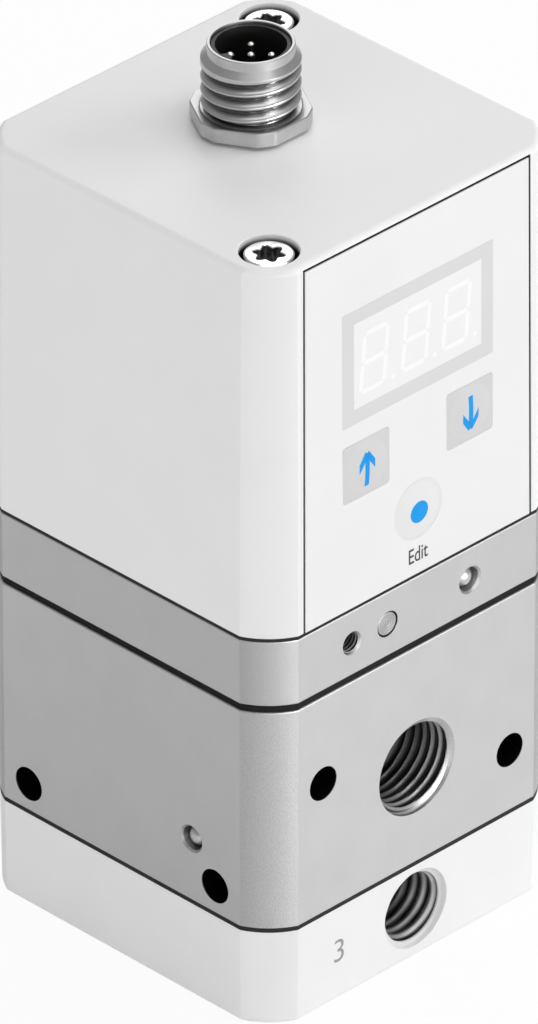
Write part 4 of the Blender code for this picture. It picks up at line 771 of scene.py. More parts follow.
class Wardrobe:
    """The regulator's finishes, each made once, which it gives to the pieces."""

    def __init__(self) -> None:
        """Name the finishes."""
        white = (0.83, 0.83, 0.83)
        self.finishes: dict[str, object] = {
            "white_plastic": MouldedPlastic("white_plastic", white),
            "blasted_aluminium": WorkedAluminium("blasted_aluminium", (0.59, 0.59, 0.59), 0.40, 0.52, 0.16),
            "dark_bush": TurnedMetal("dark_bush", (0.20, 0.20, 0.20), 0.35),
            "black_rubber": SealRubber("black_rubber", (0.006, 0.006, 0.006)),
            "seam_rubber": SealRubber("seam_rubber", (0.022, 0.022, 0.022)),
            "panel_film": PrintedFilm("panel_film", (0.805, 0.805, 0.805)),
            "display_window": PrintedFilm("display_window", (0.66, 0.66, 0.66), 0.3),
            "key_film": PrintedFilm("key_film", (0.63, 0.63, 0.63)),
            "bright_steel": TurnedMetal("bright_steel", (0.86, 0.86, 0.86), 0.18),
            "ball_steel": TurnedMetal("ball_steel", (0.60, 0.60, 0.60), 0.34),
            "nickel_plate": TurnedMetal("nickel_plate", (0.66, 0.65, 0.64), 0.24),
            "plated_contacts": TurnedMetal("plated_contacts", (0.84, 0.82, 0.78), 0.2),
            "black_plastic": MouldedPlastic("black_plastic", (0.012, 0.012, 0.012), 0.42, 0.2, 0.004, 0.8),
            "turned_brass": TurnedMetal("turned_brass", (0.70, 0.53, 0.25), 0.3, Cut.ROUND_Z),
            "circuit_board": CircuitBoard("circuit_board", (0.02, 0.13, 0.05)),
            "coil_housing": MouldedPlastic("coil_housing", (0.06, 0.06, 0.065), 0.5, 0.3, 0.01, 0.9),
        }
        self.made: dict[str, bpy.types.Material] = {}

    def cloth(self, slot: str, finish: object | None = None) -> bpy.types.Material:
        """Material of a record slot, or of a finish of its own.

        Args:
            slot: Name of the record's material slot.
            finish: Finish to use in place of the slot's usual one.

        Returns:
            The material.
        """
        chosen = finish or self.finishes[slot]
        if chosen.name not in self.made:
            self.made[chosen.name] = chosen.material()
        return self.made[chosen.name]

    def dress(self, piece: bpy.types.Object, slot: str, role: Role = Role.FIXED, stands_for: Sequence[str] = (),
              finish: object | None = None) -> bpy.types.Object:
        """Give a new piece its material and its body, and hide the CAD nodes that it stands for.

        Args:
            piece: The finished object.
            slot: Record slot that its finish comes from.
            role: Body that it rides on.
            stands_for: CAD nodes that it replaces.
            finish: Finish to use in place of the slot's usual one.

        Returns:
            The piece.
        """
        piece.data.materials.append(self.cloth(slot, finish))
        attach(piece, role.value)
        if stands_for:
            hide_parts(*stands_for)
        LOG.info("%s rides on %s", piece.name, role.value)
        return piece

    def dress_nodes(self) -> None:
        """Give every CAD node that still shows the material of its slot."""
        slots = {part["node"]: part["material_slot"] for part in frame["record"]["subparts"]}
        for name, node in frame["nodes"].items():
            if node.hide_render:
                continue
            material = self.cloth(slots[name])
            node.data.materials.clear()
            node.data.materials.append(material)
            LOG.info("%s keeps its CAD shape", name)


@dataclass
class Column:
    """Plan section that all the stacked pieces share."""

    half_width: float = 25.0 * MM
    corner_cut: float = 4.92 * MM
    arc_radius: float = 9.84 * MM
    seam: float = 0.1 * MM
    steps: int = 14

    def corner_radius(self) -> float:
        """Radius of the circle that the ends of the corners lie on."""
        return math.hypot(self.half_width, self.half_width - self.corner_cut)

    def outline(self, inset: float = 0.0) -> Outline:
        """Square whose corners are cut to shallow arcs.

        Args:
            inset: Distance that the outline stands in from the column's faces.

        Returns:
            Points counter-clockwise.
        """
        chord = self.corner_cut / 2
        middle = self.half_width - chord - math.sqrt(self.arc_radius ** 2 / 2 - chord ** 2)
        radius = self.arc_radius - inset
        start = math.acos((self.half_width - inset - middle) / radius)
        span = math.pi / 2 - 2 * start
        points = []
        for quarter in range(4):
            turn = quarter * math.pi / 2
            centre = math.sqrt(2) * middle * Vector((math.cos(turn + math.pi / 4), math.sin(turn + math.pi / 4)))
            for step in range(self.steps + 1):
                angle = turn + start + span * step / self.steps
                points.append((centre.x + radius * math.cos(angle), centre.y + radius * math.sin(angle)))
        return points

    def rounded(self, foot: float, top: float, foot_round: float, top_round: float,
                foot_inset: float = 0.0, top_inset: float = 0.0, steps: int = 5) -> list[tuple[Outline, float]]:
        """Sections of a column piece with rounded edges.

        Args:
            foot: Height of the underside.
            top: Height of the upper face.
            foot_round: Radius of the lower edge.
            top_round: Radius of the upper edge.
            foot_inset: How far the wall stands in at its foot.
            top_inset: How far the wall stands in at its top.
            steps: Steps of each rounding.

        Returns:
            Outlines with their heights.
        """
        sections = []
        for step in range(steps + 1):
            turn = math.pi / 2 * step / steps
            inset = foot_inset + foot_round * (1 - math.sin(turn))
            sections.append((self.outline(inset), foot + foot_round * (1 - math.cos(turn))))
        for step in range(steps + 1):
            turn = math.pi / 2 * step / steps
            inset = top_inset + top_round * (1 - math.cos(turn))
            sections.append((self.outline(inset), top - top_round * (1 - math.sin(turn))))
        return sections


@dataclass
class Fastenings:
    """Places and sizes of the screws that several pieces share."""

    cover_place: float = 19.1 * MM
    cover_hole: float = 2.3 * MM
    cover_recess: float = 3.65 * MM
    cover_recess_depth: float = 2.6 * MM
    base_place: float = 19.9 * MM
    base_hole: float = 1.55 * MM
    base_recess: float = 2.55 * MM
    base_recess_depth: float = 3.0 * MM

    def cover(self) -> list[tuple[float, float]]:
        """Plan places of the cover screws."""
        return [(-self.cover_place, -self.cover_place), (self.cover_place, self.cover_place)]

    def base(self) -> list[tuple[float, float]]:
        """Plan places of the screws from below, the two long ones first."""
        place = self.base_place
        return [(-place, place), (place, -place), (-place, -place), (place, place)]


@dataclass
class ExhaustFoot:
    """White exhaust cover with its threaded bush."""

    column: Column
    fastenings: Fastenings
    taper: float = 0.15 * MM
    edge: float = 0.5 * MM
    port_level: float = 6.8 * MM
    lip_radius: float = 5.3 * MM
    lip_depth: float = 1.0 * MM
    ledge_depth: float = 0.75 * MM
    ledge_radius: float = 4.62 * MM
    bush_radius: float = 5.7 * MM
    bush_length: float = 12.0 * MM
    bush_gap: float = 0.3 * MM
    thread_minor: float = 4.28 * MM
    thread_major: float = 4.86 * MM
    thread_pitch: float = 1.6 * MM
    passage_end: float = -3.75 * MM
    chamber_radius: float = 7.5 * MM
    floor: float = 3.0 * MM
    numeral_place: tuple[float, float] = (-13.05 * MM, 6.75 * MM)
    numeral_size: float = 4.6 * MM
    numeral_fill_depth: float = 0.27 * MM

    def build(self, wardrobe: Wardrobe) -> None:
        """Make the cover, its bush and the grey fill of its numeral."""
        _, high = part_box("exhaust_cover")
        face = -self.column.half_width
        cover = Form.lofted("exhaust_foot", self.column.rounded(
            0.0, high.z - self.column.seam, self.edge, 0.06 * MM, self.taper))
        cover.cut(Form.turned("chamber", [(self.chamber_radius, self.floor), (self.chamber_radius, high.z + OVERRUN)]))
        inner = face + self.lip_depth
        cover.drill(Heading.BACK, (0, inner + OVERRUN, self.port_level), self.passage_end - inner - OVERRUN,
                    self.bush_radius + self.bush_gap, segments=64)
        cover.drill(Heading.BACK, (0, face, self.port_level), self.ledge_depth, self.lip_radius, 0.08 * MM, 96)
        cover.drill(Heading.BACK, (0, face, self.port_level), self.lip_depth + 0.5 * MM, self.ledge_radius, segments=96)
        for x, y in self.fastenings.base():
            cover.drill(Heading.UP, (x, y, 0), self.fastenings.base_recess_depth, self.fastenings.base_recess, 0.15 * MM)
            cover.drill(Heading.UP, (x, y, 0), high.z + OVERRUN, self.fastenings.base_hole)
        cover.cut(self.numeral(face))
        axis = (0.0, self.port_level)
        # Painted shade on the wall of the port's recess, in a pale grey.
        mouth = Bore(Axis.BACK, axis, -face, self.lip_radius, clear=0.1 * MM, fade=0.3 * MM)
        plastic = replace(wardrobe.finishes["white_plastic"], name="foot_plastic", bores=(mouth,),
                          bore_shade_colour=(0.75, 0.75, 0.75))
        wardrobe.dress(cover.done(20), "white_plastic", stands_for=["exhaust_cover"], finish=plastic)
        # Painted shade deeper in the bush's thread, and in its roots by root_shade.
        bore = Bore(Axis.BACK, axis, -inner, self.thread_major, clear=0.5 * MM, fade=7.0 * MM)
        finish = TurnedMetal("bush_metal", (0.55, 0.55, 0.55), 0.5, Cut.ROUND_Y, axis,
                             crest=self.thread_minor + 0.16 * MM, root=self.thread_major - 0.05 * MM, root_shade=0.04,
                             bores=(bore,))
        wardrobe.dress(self.bush(inner).done(40), "dark_bush", stands_for=["exhaust_port_bush"], finish=finish)
        # Grey piece at the floor of the engraved numeral, so that the numeral shows darker than the cover.
        numeral_fill = self.numeral(face + self.numeral_fill_depth)
        numeral_fill.item.name = "port_numeral"
        wardrobe.dress(numeral_fill.done(), "white_plastic", finish=MouldedPlastic("numeral_grey", (0.30, 0.30, 0.30)))

    def numeral(self, face: float) -> Form:
        """Raised numeral that engraves the port's number.

        Args:
            face: Place of the front face on the Y axis.

        Returns:
            The numeral as a closed form.
        """
        curve = bpy.data.curves.new("port_numeral", "FONT")
        curve.body = "3"
        curve.size = self.numeral_size
        curve.extrude = 0.22 * MM
        curve.offset = -0.03 * MM
        curve.align_x = "CENTER"
        curve.align_y = "CENTER"
        item = bpy.data.objects.new("port_numeral", curve)
        bpy.context.scene.collection.objects.link(item)
        graph = bpy.context.evaluated_depsgraph_get()
        mesh = bpy.data.meshes.new_from_object(item.evaluated_get(graph))
        bpy.data.objects.remove(item, do_unlink=True)
        turn = Matrix.Translation((self.numeral_place[0], face, self.numeral_place[1])) @ Matrix.Rotation(
            math.pi / 2, 4, "X")
        points = [turn @ vertex.co for vertex in mesh.vertices]
        places: dict[tuple[int, ...], int] = {}
        numbers = []
        corners = []
        for point in points:
            key = tuple(round(part * 1e7) for part in point)
            if key not in places:
                places[key] = len(corners)
                corners.append(point)
            numbers.append(places[key])
        faces = [[numbers[corner] for corner in polygon.vertices] for polygon in mesh.polygons]
        return Form("numeral_tool", corners, faces)

    def bush(self, mouth: float) -> Form:
        """Threaded bush behind the cover's lip.

        Args:
            mouth: Place of its front face on the Y axis.

        Returns:
            The bush.
        """
        thread = Thread(self.thread_minor, self.thread_major, self.thread_pitch, 1.5)
        bore = thread.bore(0.55 * MM, self.bush_length)
        rings: list[Ring] = [(self.thread_major + 0.05 * MM, 0.0), *bore,
                             (self.bush_radius, self.bush_length), (self.bush_radius, 0.0)]
        return Form.turned("exhaust_bush", rings, 72, True, Heading.BACK.at((0, mouth, self.port_level)))


@dataclass
class ValveBlock:
    """Aluminium valve body between the exhaust cover and the pilot plate."""

    column: Column
    fastenings: Fastenings
    port_level: float = 27.1 * MM
    port_minor: float = 5.72 * MM
    port_major: float = 6.4 * MM
    port_pitch: float = 1.337 * MM
    port_depth: float = 11.5 * MM
    hole_radius: float = 2.25 * MM
    hole_place: float = 15.9 * MM
    front_hole_step: float = 4.85 * MM
    side_hole_level: float = 17.4 * MM
    channel_radius: float = 1.0 * MM
    ball_recess: float = 1.7 * MM
    ball_radius: float = 1.4 * MM
    feed_place: float = -11.9 * MM
    feed_level: float = 22.3 * MM
    riser_reach: float = 11.5 * MM
    outlet_place: tuple[float, float] = (8.85 * MM, -13.5 * MM)
    outlet_riser_foot: float = 36.5 * MM

    def build(self, wardrobe: Wardrobe) -> None:
        """Make the body and the ball in its side."""
        low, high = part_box("valve_body")
        block = Form.lofted("valve_block", self.column.rounded(
            low.z + self.column.seam, high.z, 0.06 * MM, 0.18 * MM, steps=2))
        block.cut(self.bore(low.z, high.z))
        self.cut_ports(block)
        self.cut_cross_holes(block)
        self.cut_channels(block, high.z)
        for index, (x, y) in enumerate(self.fastenings.base()):
            depth = high.z - low.z + OVERRUN if index < 2 else 9.0 * MM
            block.drill(Heading.UP, (x, y, low.z), depth, self.fastenings.base_hole, segments=24)
        aluminium = wardrobe.finishes["blasted_aluminium"]
        finish = replace(aluminium, name="valve_block_aluminium", bores=self.shaded_bores())
        wardrobe.dress(block.done(20), "blasted_aluminium", stands_for=["valve_body"], finish=finish)
        wardrobe.dress(self.ball("body_plug_ball", "body_ball"), "bright_steel", stands_for=["body_ball"],
                       finish=wardrobe.finishes["ball_steel"])

    def shaded_bores(self) -> tuple[Bore, ...]:
        """Holes of the block whose insides get painted shade."""
        face = self.column.half_width
        place = self.hole_place
        holes = [Bore(Axis.BACK, (x, self.port_level + step), face, self.hole_radius)
                 for x, step in ((-place, self.front_hole_step), (place, -self.front_hole_step))]
        holes += [Bore(Axis.ACROSS, (y, self.side_hole_level), face, self.hole_radius) for y in (-place, place)]
        holes.append(Bore(Axis.BACK, (0.0, self.port_level), face, self.port_major, self.port_minor, 0.6 * MM))
        return tuple(holes)

    def bore(self, foot: float, top: float) -> Form:
        """Stepped valve bore as a tool.

        Args:
            foot: Underside of the body.
            top: Upper face of the body.

        Returns:
            The tool.
        """
        steps = [(10.0, -1.0), (10.0, 3.7), (8.0, 3.7), (8.0, 13.9), (5.5, 13.9), (5.5, 13.3), (4.5, 13.3),
                 (4.5, 15.9), (8.0, 15.9), (8.0, 21.4), (12.0, 21.4)]
        rings: list[Ring] = [(radius * MM, foot + height * MM) for radius, height in steps]
        return Form.turned("valve_bore_tool", [*rings, (12.0 * MM, top + OVERRUN)], 64)

    def cut_ports(self, block: Form) -> None:
        """Cut the two threaded working ports and the passages behind them."""
        face = self.column.half_width
        thread = Thread(self.port_minor, self.port_major, self.port_pitch, 0.8)
        rings: list[Ring] = [(self.port_major + 0.02 * MM, -OVERRUN), (self.port_major + 0.02 * MM, 0.0)]
        rings += thread.bore(0.42 * MM, self.port_depth, 14)
        passages = ((Heading.BACK, -face, 3.0 * MM, 24.2 * MM), (Heading.FRONT, face, 2.5 * MM, 32.3 * MM))
        for heading, mouth, radius, level in passages:
            block.cut(Form.turned("port_tool", rings, 80, place=heading.at((0, mouth, self.port_level))))
            start = mouth * (face - self.port_depth + OVERRUN) / face
            block.drill(heading, (0, start, level), start * math.copysign(1, start) - 6.0 * MM, radius)

    def cut_cross_holes(self, block: Form) -> None:
        """Cut the mounting holes from front to back and from side to side."""
        face = self.column.half_width
        place = self.hole_place
        for x, step in ((-place, self.front_hole_step), (place, -self.front_hole_step)):
            block.drill(Heading.BACK, (x, -face, self.port_level + step), 2 * face + OVERRUN, self.hole_radius)
        for y in (-place, place):
            block.drill(Heading.RIGHT, (-face, y, self.side_hole_level), 2 * face + OVERRUN, self.hole_radius)

    def cut_channels(self, block: Form, top: float) -> None:
        """Cut the pilot feed with its ball recess and the riser to the outlet sensor."""
        face = self.column.half_width
        recess = self.ball_recess
        block.drill(Heading.RIGHT, (-face, self.feed_place, self.feed_level), 2 * recess, recess - 0.1 * MM, 0.26 * MM)
        block.drill(Heading.RIGHT, (-face + 2 * MM, self.feed_place, self.feed_level), face - 3.5 * MM,
                    self.channel_radius, segments=24)
        block.drill(Heading.UP, (-self.riser_reach, self.feed_place, self.feed_level + OVERRUN),
                    top - self.feed_level, self.channel_radius, segments=24)
        x, y = self.outlet_place
        block.drill(Heading.UP, (x, y, self.outlet_riser_foot + OVERRUN), top - self.outlet_riser_foot,
                    self.channel_radius, segments=24)

    def ball(self, name: str, node: str) -> bpy.types.Object:
        """Smooth ball in place of a CAD ball.

        Args:
            name: Name of the piece.
            node: CAD node whose middle it takes.

        Returns:
            The ball.
        """
        low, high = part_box(node)
        middle = (low + high) / 2
        turns = [math.pi * step / 20 for step in range(1, 20)]
        rings: list[Ring] = [(0, -self.ball_radius)]
        rings += [(self.ball_radius * math.sin(turn), -self.ball_radius * math.cos(turn)) for turn in turns]
        rings.append((0, self.ball_radius))
        return Form.turned(name, rings, 32, place=Heading.UP.at(middle)).done()


@dataclass
class PilotPlate:
    """Pilot manifold plate with its threaded hole, pressed plug and ball."""

    column: Column
    fastenings: Fastenings
    block: ValveBlock
    level: float = 49.5 * MM
    threaded_place: float = -11.1 * MM
    threaded_minor: float = 1.25 * MM
    threaded_major: float = 1.55 * MM
    threaded_pitch: float = 0.5 * MM
    threaded_depth: float = 6.0 * MM
    plug_place: float = -5.1 * MM
    plug_hole: float = 1.7 * MM
    plug_radius: float = 1.53 * MM
    ball_place: float = 8.85 * MM
    sensor_row: float = 9.0 * MM
    pilot_chamber: float = 11.0 * MM

    def build(self, wardrobe: Wardrobe) -> None:
        """Make the plate, the plug and the ball."""
        low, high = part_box("pilot_manifold")
        face = -self.column.half_width
        plate = Form.lofted("pilot_plate", self.column.rounded(low.z, high.z, 0.1 * MM, 0.18 * MM, steps=2))
        plate.cut(Form.turned("pilot_chamber", [(self.pilot_chamber, low.z - OVERRUN), (self.pilot_chamber, low.z + 1.9 * MM)]))
        thread = Thread(self.threaded_minor, self.threaded_major, self.threaded_pitch, 1.2)
        wide = self.threaded_major + 0.02 * MM
        rings: list[Ring] = [(wide, -OVERRUN), (wide, 0.0), *thread.bore(0.28 * MM, self.threaded_depth, 14)]
        plate.cut(Form.turned("thread_tool", rings, 48, place=Heading.BACK.at((self.threaded_place, face, self.level))))
        plate.drill(Heading.BACK, (self.plug_place, face, self.level), 4.15 * MM, self.plug_hole, 0.04 * MM, 64)
        plate.drill(Heading.BACK, (self.ball_place, face, self.level), 3.4 * MM, self.block.ball_recess - 0.1 * MM,
                    0.26 * MM, 64)
        channel = self.block.channel_radius
        for x in (self.plug_place, self.ball_place):
            plate.drill(Heading.BACK, (x, face + 2 * MM, self.level), self.sensor_row - face - 2 * MM, channel, segments=24)
        tall = high.z - low.z + OVERRUN
        for x, y, foot in ((-self.block.riser_reach, self.block.feed_place, low.z), (-5 * MM, 0, low.z + 1.5 * MM),
                           (5 * MM, 0, low.z + 1.5 * MM), (self.plug_place, self.sensor_row, low.z + 1.5 * MM),
                           (self.ball_place, self.sensor_row, self.level + OVERRUN)):
            plate.drill(Heading.UP, (x, y, foot), tall, channel, segments=24)
        x, y = self.block.outlet_place
        plate.drill(Heading.UP, (x, y, low.z), self.level - low.z, channel, segments=24)
        for x, y in self.fastenings.base()[:2]:
            plate.drill(Heading.UP, (x, y, low.z), 6.5 * MM, self.fastenings.base_hole, segments=24)
        for x, y in self.fastenings.cover():
            plate.drill(Heading.DOWN, (x, y, high.z), 8.0 * MM, self.fastenings.cover_hole, segments=32)
        reach = self.column.half_width
        # Painted shade inside the threaded hole and the plug's hole.
        holes = (Bore(Axis.BACK, (self.threaded_place, self.level), reach, self.threaded_major, self.threaded_minor,
                      0.1 * MM),
                 Bore(Axis.BACK, (self.plug_place, self.level), reach, self.plug_hole))
        finish = replace(wardrobe.finishes["blasted_aluminium"], name="pilot_plate_aluminium", bores=holes, bead=0.08,
                         colour=(0.565, 0.565, 0.565))
        wardrobe.dress(plate.done(20), "blasted_aluminium", stands_for=["pilot_manifold"], finish=finish)
        self.build_plug(wardrobe, face)
        wardrobe.dress(self.block.ball("manifold_plug_ball", "manifold_ball"), "bright_steel",
                       stands_for=["manifold_ball"], finish=wardrobe.finishes["ball_steel"])

    def build_plug(self, wardrobe: Wardrobe, face: float) -> None:
        """Make the pressed plug with the turning marks on its end."""
        mouth = face + 0.1 * MM
        rings: list[Ring] = [(self.plug_radius, -4.0 * MM), (self.plug_radius, -0.06 * MM),
                             (self.plug_radius - 0.06 * MM, 0.0), (0.3 * MM, -0.01 * MM), (0, -0.05 * MM)]
        plug = Form.turned("pressed_plug", rings, 56, place=Heading.FRONT.at((self.plug_place, mouth, self.level)))
        finish = TurnedMetal("pressed_plug_steel", (0.40, 0.40, 0.40), 0.42, Cut.ROUND_Y, (self.plug_place, self.level),
                             0.4, 0.03)
        wardrobe.dress(plug.done(), "bright_steel", stands_for=["manifold_plug"], finish=finish)


@dataclass
class Gaskets:
    """The three flat gaskets of the stack."""

    column: Column
    fastenings: Fastenings
    block: ValveBlock
    housing: "HousingShell"

    def build(self, wardrobe: Wardrobe) -> None:
        """Make the gaskets."""
        self.build_cover_gasket(wardrobe)
        for node, inset, opening in (("exhaust_gasket", 0.0, 7.5), ("body_gasket", 0.2, 12.0)):
            low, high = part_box(node)
            seam = self.column.seam if inset == 0 else 0.0
            sheet = Form.lofted(node + "_sheet", self.column.rounded(
                low.z - seam, high.z + seam, 0.05 * MM, 0.05 * MM, inset * MM, inset * MM, 2))
            sheet.drill(Heading.UP, (0, 0, low.z), 3 * MM, opening * MM, segments=64)
            places = self.fastenings.base()
            holes = [(x, y, self.fastenings.base_hole) for x, y in places]
            if node == "body_gasket":
                channel = self.block.channel_radius
                holes = holes[:2] + [(-self.block.riser_reach, self.block.feed_place, channel),
                                     (*self.block.outlet_place, channel)]
            for x, y, radius in holes:
                sheet.drill(Heading.UP, (x, y, low.z), 3 * MM, radius, segments=24)
            finish = wardrobe.finishes["seam_rubber" if seam else "black_rubber"]
            wardrobe.dress(sheet.done(20), "black_rubber", stands_for=[node], finish=finish)

    def build_cover_gasket(self, wardrobe: Wardrobe) -> None:
        """Make the frame gasket under the housing, with pads round the cover screws."""
        low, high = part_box("cover_gasket")
        edge = 0.03 * MM
        sheet = Form.lofted("cover_gasket_sheet", self.column.rounded(
            low.z, high.z + self.column.seam, edge, edge, steps=2))
        hollow = self.housing.hollow(0.0)
        sheet.cut(Form.lofted("gasket_tool", [(hollow, low.z - OVERRUN), (hollow, high.z + OVERRUN)]))
        for x, y in self.fastenings.cover():
            sheet.drill(Heading.UP, (x, y, low.z), 3 * MM, self.fastenings.cover_hole, segments=32)
        wardrobe.dress(sheet.done(20), "black_rubber", stands_for=["cover_gasket"],
                       finish=wardrobe.finishes["seam_rubber"])


@dataclass
class HousingShell:
    """White electronics housing with a shallow cone under the plug connector."""

    column: Column
    fastenings: Fastenings
    draft: float = 0.45 * MM
    edge: float = 0.85 * MM
    wall: float = 2.2 * MM
    roof: float = 3.5 * MM
    front_inside: float = -21.5 * MM
    panel_seat: float = -23.2 * MM
    panel_half: float = 18.9 * MM
    panel_narrowing: float = 0.3 * MM
    panel_gap: float = 0.36 * MM
    panel_top_margin: float = 0.95 * MM
    pillar_radius: float = 4.6 * MM
    arc_steps: int = 14
    cone_radius: float = 13.6 * MM
    cone_top: float = 7.0 * MM
    cone_gap: float = 0.42 * MM
    seat_radius: float = 5.7 * MM
    connector_row: float = 3.0 * MM
    connector_hole: float = 5.4 * MM

    def top(self) -> float:
        """Level of the housing's roof."""
        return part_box("housing_cover")[1].z - 0.8 * MM

    def lean(self, level: float) -> float:
        """How far the drafted wall stands in at a level."""
        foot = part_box("housing_cover")[0].z
        return self.draft * (level - foot) / (self.top() - foot)

    def hollow(self, inset: float) -> Outline:
        """Plan outline of the hollow, which leaves two corners to the screw pillars.

        Args:
            inset: Extra distance from the column's faces.

        Returns:
            Points counter-clockwise.
        """
        side = self.column.half_width - self.wall - inset
        corner = self.column.corner_radius() - self.wall - inset
        front = self.front_inside
        (left, near), (right, far) = self.fastenings.cover()
        reach = math.sqrt(corner ** 2 - side ** 2)
        right_corner = self.corner_arc(corner, (math.sqrt(corner ** 2 - front ** 2), front), (side, -reach))
        left_corner = self.corner_arc(corner, (-reach, side), (-side, reach))
        return [*self.pillar_arc((left, near), -side, front), *right_corner,
                *self.pillar_arc((right, far), side, side), *left_corner]

    def corner_arc(self, radius: float, first: tuple[float, float], last: tuple[float, float]) -> Outline:
        """Points on a circle about the axis between two points, counter-clockwise."""
        start = math.atan2(first[1], first[0])
        span = (math.atan2(last[1], last[0]) - start) % math.tau
        turns = [start + span * step / self.arc_steps for step in range(self.arc_steps + 1)]
        return [(radius * math.cos(turn), radius * math.sin(turn)) for turn in turns]

    def pillar_arc(self, middle: tuple[float, float], wall_x: float, wall_y: float) -> Outline:
        """Points round a screw pillar's inner side, from one wall of the hollow to the other."""
        radius = self.pillar_radius
        away_x = wall_x - middle[0]
        away_y = wall_y - middle[1]
        start = math.atan2(math.copysign(math.sqrt(radius ** 2 - away_x ** 2), -away_y), away_x)
        end = math.atan2(away_y, math.copysign(math.sqrt(radius ** 2 - away_y ** 2), -away_x))
        span = (end - start) % -math.tau
        turns = [start + span * step / self.arc_steps for step in range(self.arc_steps + 1)]
        return [(middle[0] + radius * math.cos(turn), middle[1] + radius * math.sin(turn)) for turn in turns]

    def plate(self, name: str, margin: float, front: tuple[float, float], foot: float, top: float) -> Form:
        """Upright plate that narrows upwards.

        Args:
            name: Name of the form.
            margin: Extra width on each side.
            front: Place of its front at the foot and at the top.
            foot: Level of its foot.
            top: Level of its top.

        Returns:
            The plate.
        """
        half = self.panel_half + margin
        narrow = half - self.panel_narrowing
        back = self.panel_seat
        lower = [(-half, front[0]), (half, front[0]), (half, back), (-half, back)]
        upper = [(-narrow, front[1]), (narrow, front[1]), (narrow, back), (-narrow, back)]
        return Form.lofted(name, [(lower, foot), (upper, top)])

    def build(self, wardrobe: Wardrobe) -> None:
        """Make the housing."""
        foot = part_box("housing_cover")[0].z
        top = self.top()
        shell = Form.lofted("housing_shell", self.column.rounded(
            foot + self.column.seam, top, 0.06 * MM, self.edge, 0.0, self.draft, 7))
        outer = -self.column.half_width - OVERRUN
        shell.cut(self.plate("pocket_tool", self.panel_gap, (outer, outer), foot - OVERRUN,
                             top - self.panel_top_margin + self.panel_gap))
        low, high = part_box("display_board")
        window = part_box("display_lens")
        side = 13.9 * MM
        shell.cut(Form.block("window_tool", (-side, self.panel_seat - OVERRUN, foot + 3 * MM),
                             (side, self.front_inside + OVERRUN, window[1].z + 0.3 * MM)))
        shell.cut(Form.lofted("hollow_tool", [(self.hollow(0.0), foot - OVERRUN),
                                              (self.hollow(self.lean(top - self.roof)), top - self.roof)]))
        self.shape_roof(shell, top)
        for x in (-12 * MM, 12 * MM):
            for level in (low.z + 1.0 * MM, high.z - 1.0 * MM):
                peg = Form.turned("peg", [(1.2 * MM, 0.0), (1.2 * MM, 3.0 * MM)], 24,
                                  place=Heading.FRONT.at((x, low.y - 0.02 * MM, level)))
                shell.join(peg)
        for x, y in self.fastenings.cover():
            recess = self.fastenings.cover_recess
            shell.drill(Heading.DOWN, (x, y, top), self.fastenings.cover_recess_depth, recess, 0.1 * MM, 96)
            shell.drill(Heading.DOWN, (x, y, top), 2 * self.fastenings.cover_place + 15 * MM,
                        self.fastenings.cover_hole, segments=32)
        # Painted shade down the walls of the cover screws' recesses.
        holes = tuple(Bore(Axis.DOWN, spot, top, self.fastenings.cover_recess, clear=0.2 * MM, fade=1.0 * MM)
                      for spot in self.fastenings.cover())
        finish = replace(wardrobe.finishes["white_plastic"], name="housing_plastic", bores=holes)
        wardrobe.dress(shell.done(20), "white_plastic", stands_for=["housing_cover"], finish=finish)

    def shape_roof(self, shell: Form, top: float) -> None:
        """Raise the shallow cone and the connector's seat on it and drill the connector's hole."""
        row = self.connector_row
        place = Heading.UP.at((0, row, 0))
        foot = top - OVERRUN
        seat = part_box("connector_shell")[0].z + 8.8 * MM
        slope: list[Ring] = [(self.cone_radius, foot), (self.cone_radius, top - 0.02 * MM),
                             (self.cone_top, seat - self.cone_gap)]
        shell.join(Form.turned("cone_tool", slope, 128, place=place),
                   Form.turned("seat_tool", [(self.seat_radius, foot), (self.seat_radius, seat)], 64, place=place))
        shell.drill(Heading.DOWN, (0, row, seat), 8 * MM, self.connector_hole, segments=64)
        shell.drill(Heading.UP, (0, row, top - self.roof), 1.4 * MM, 7.0 * MM, segments=64)


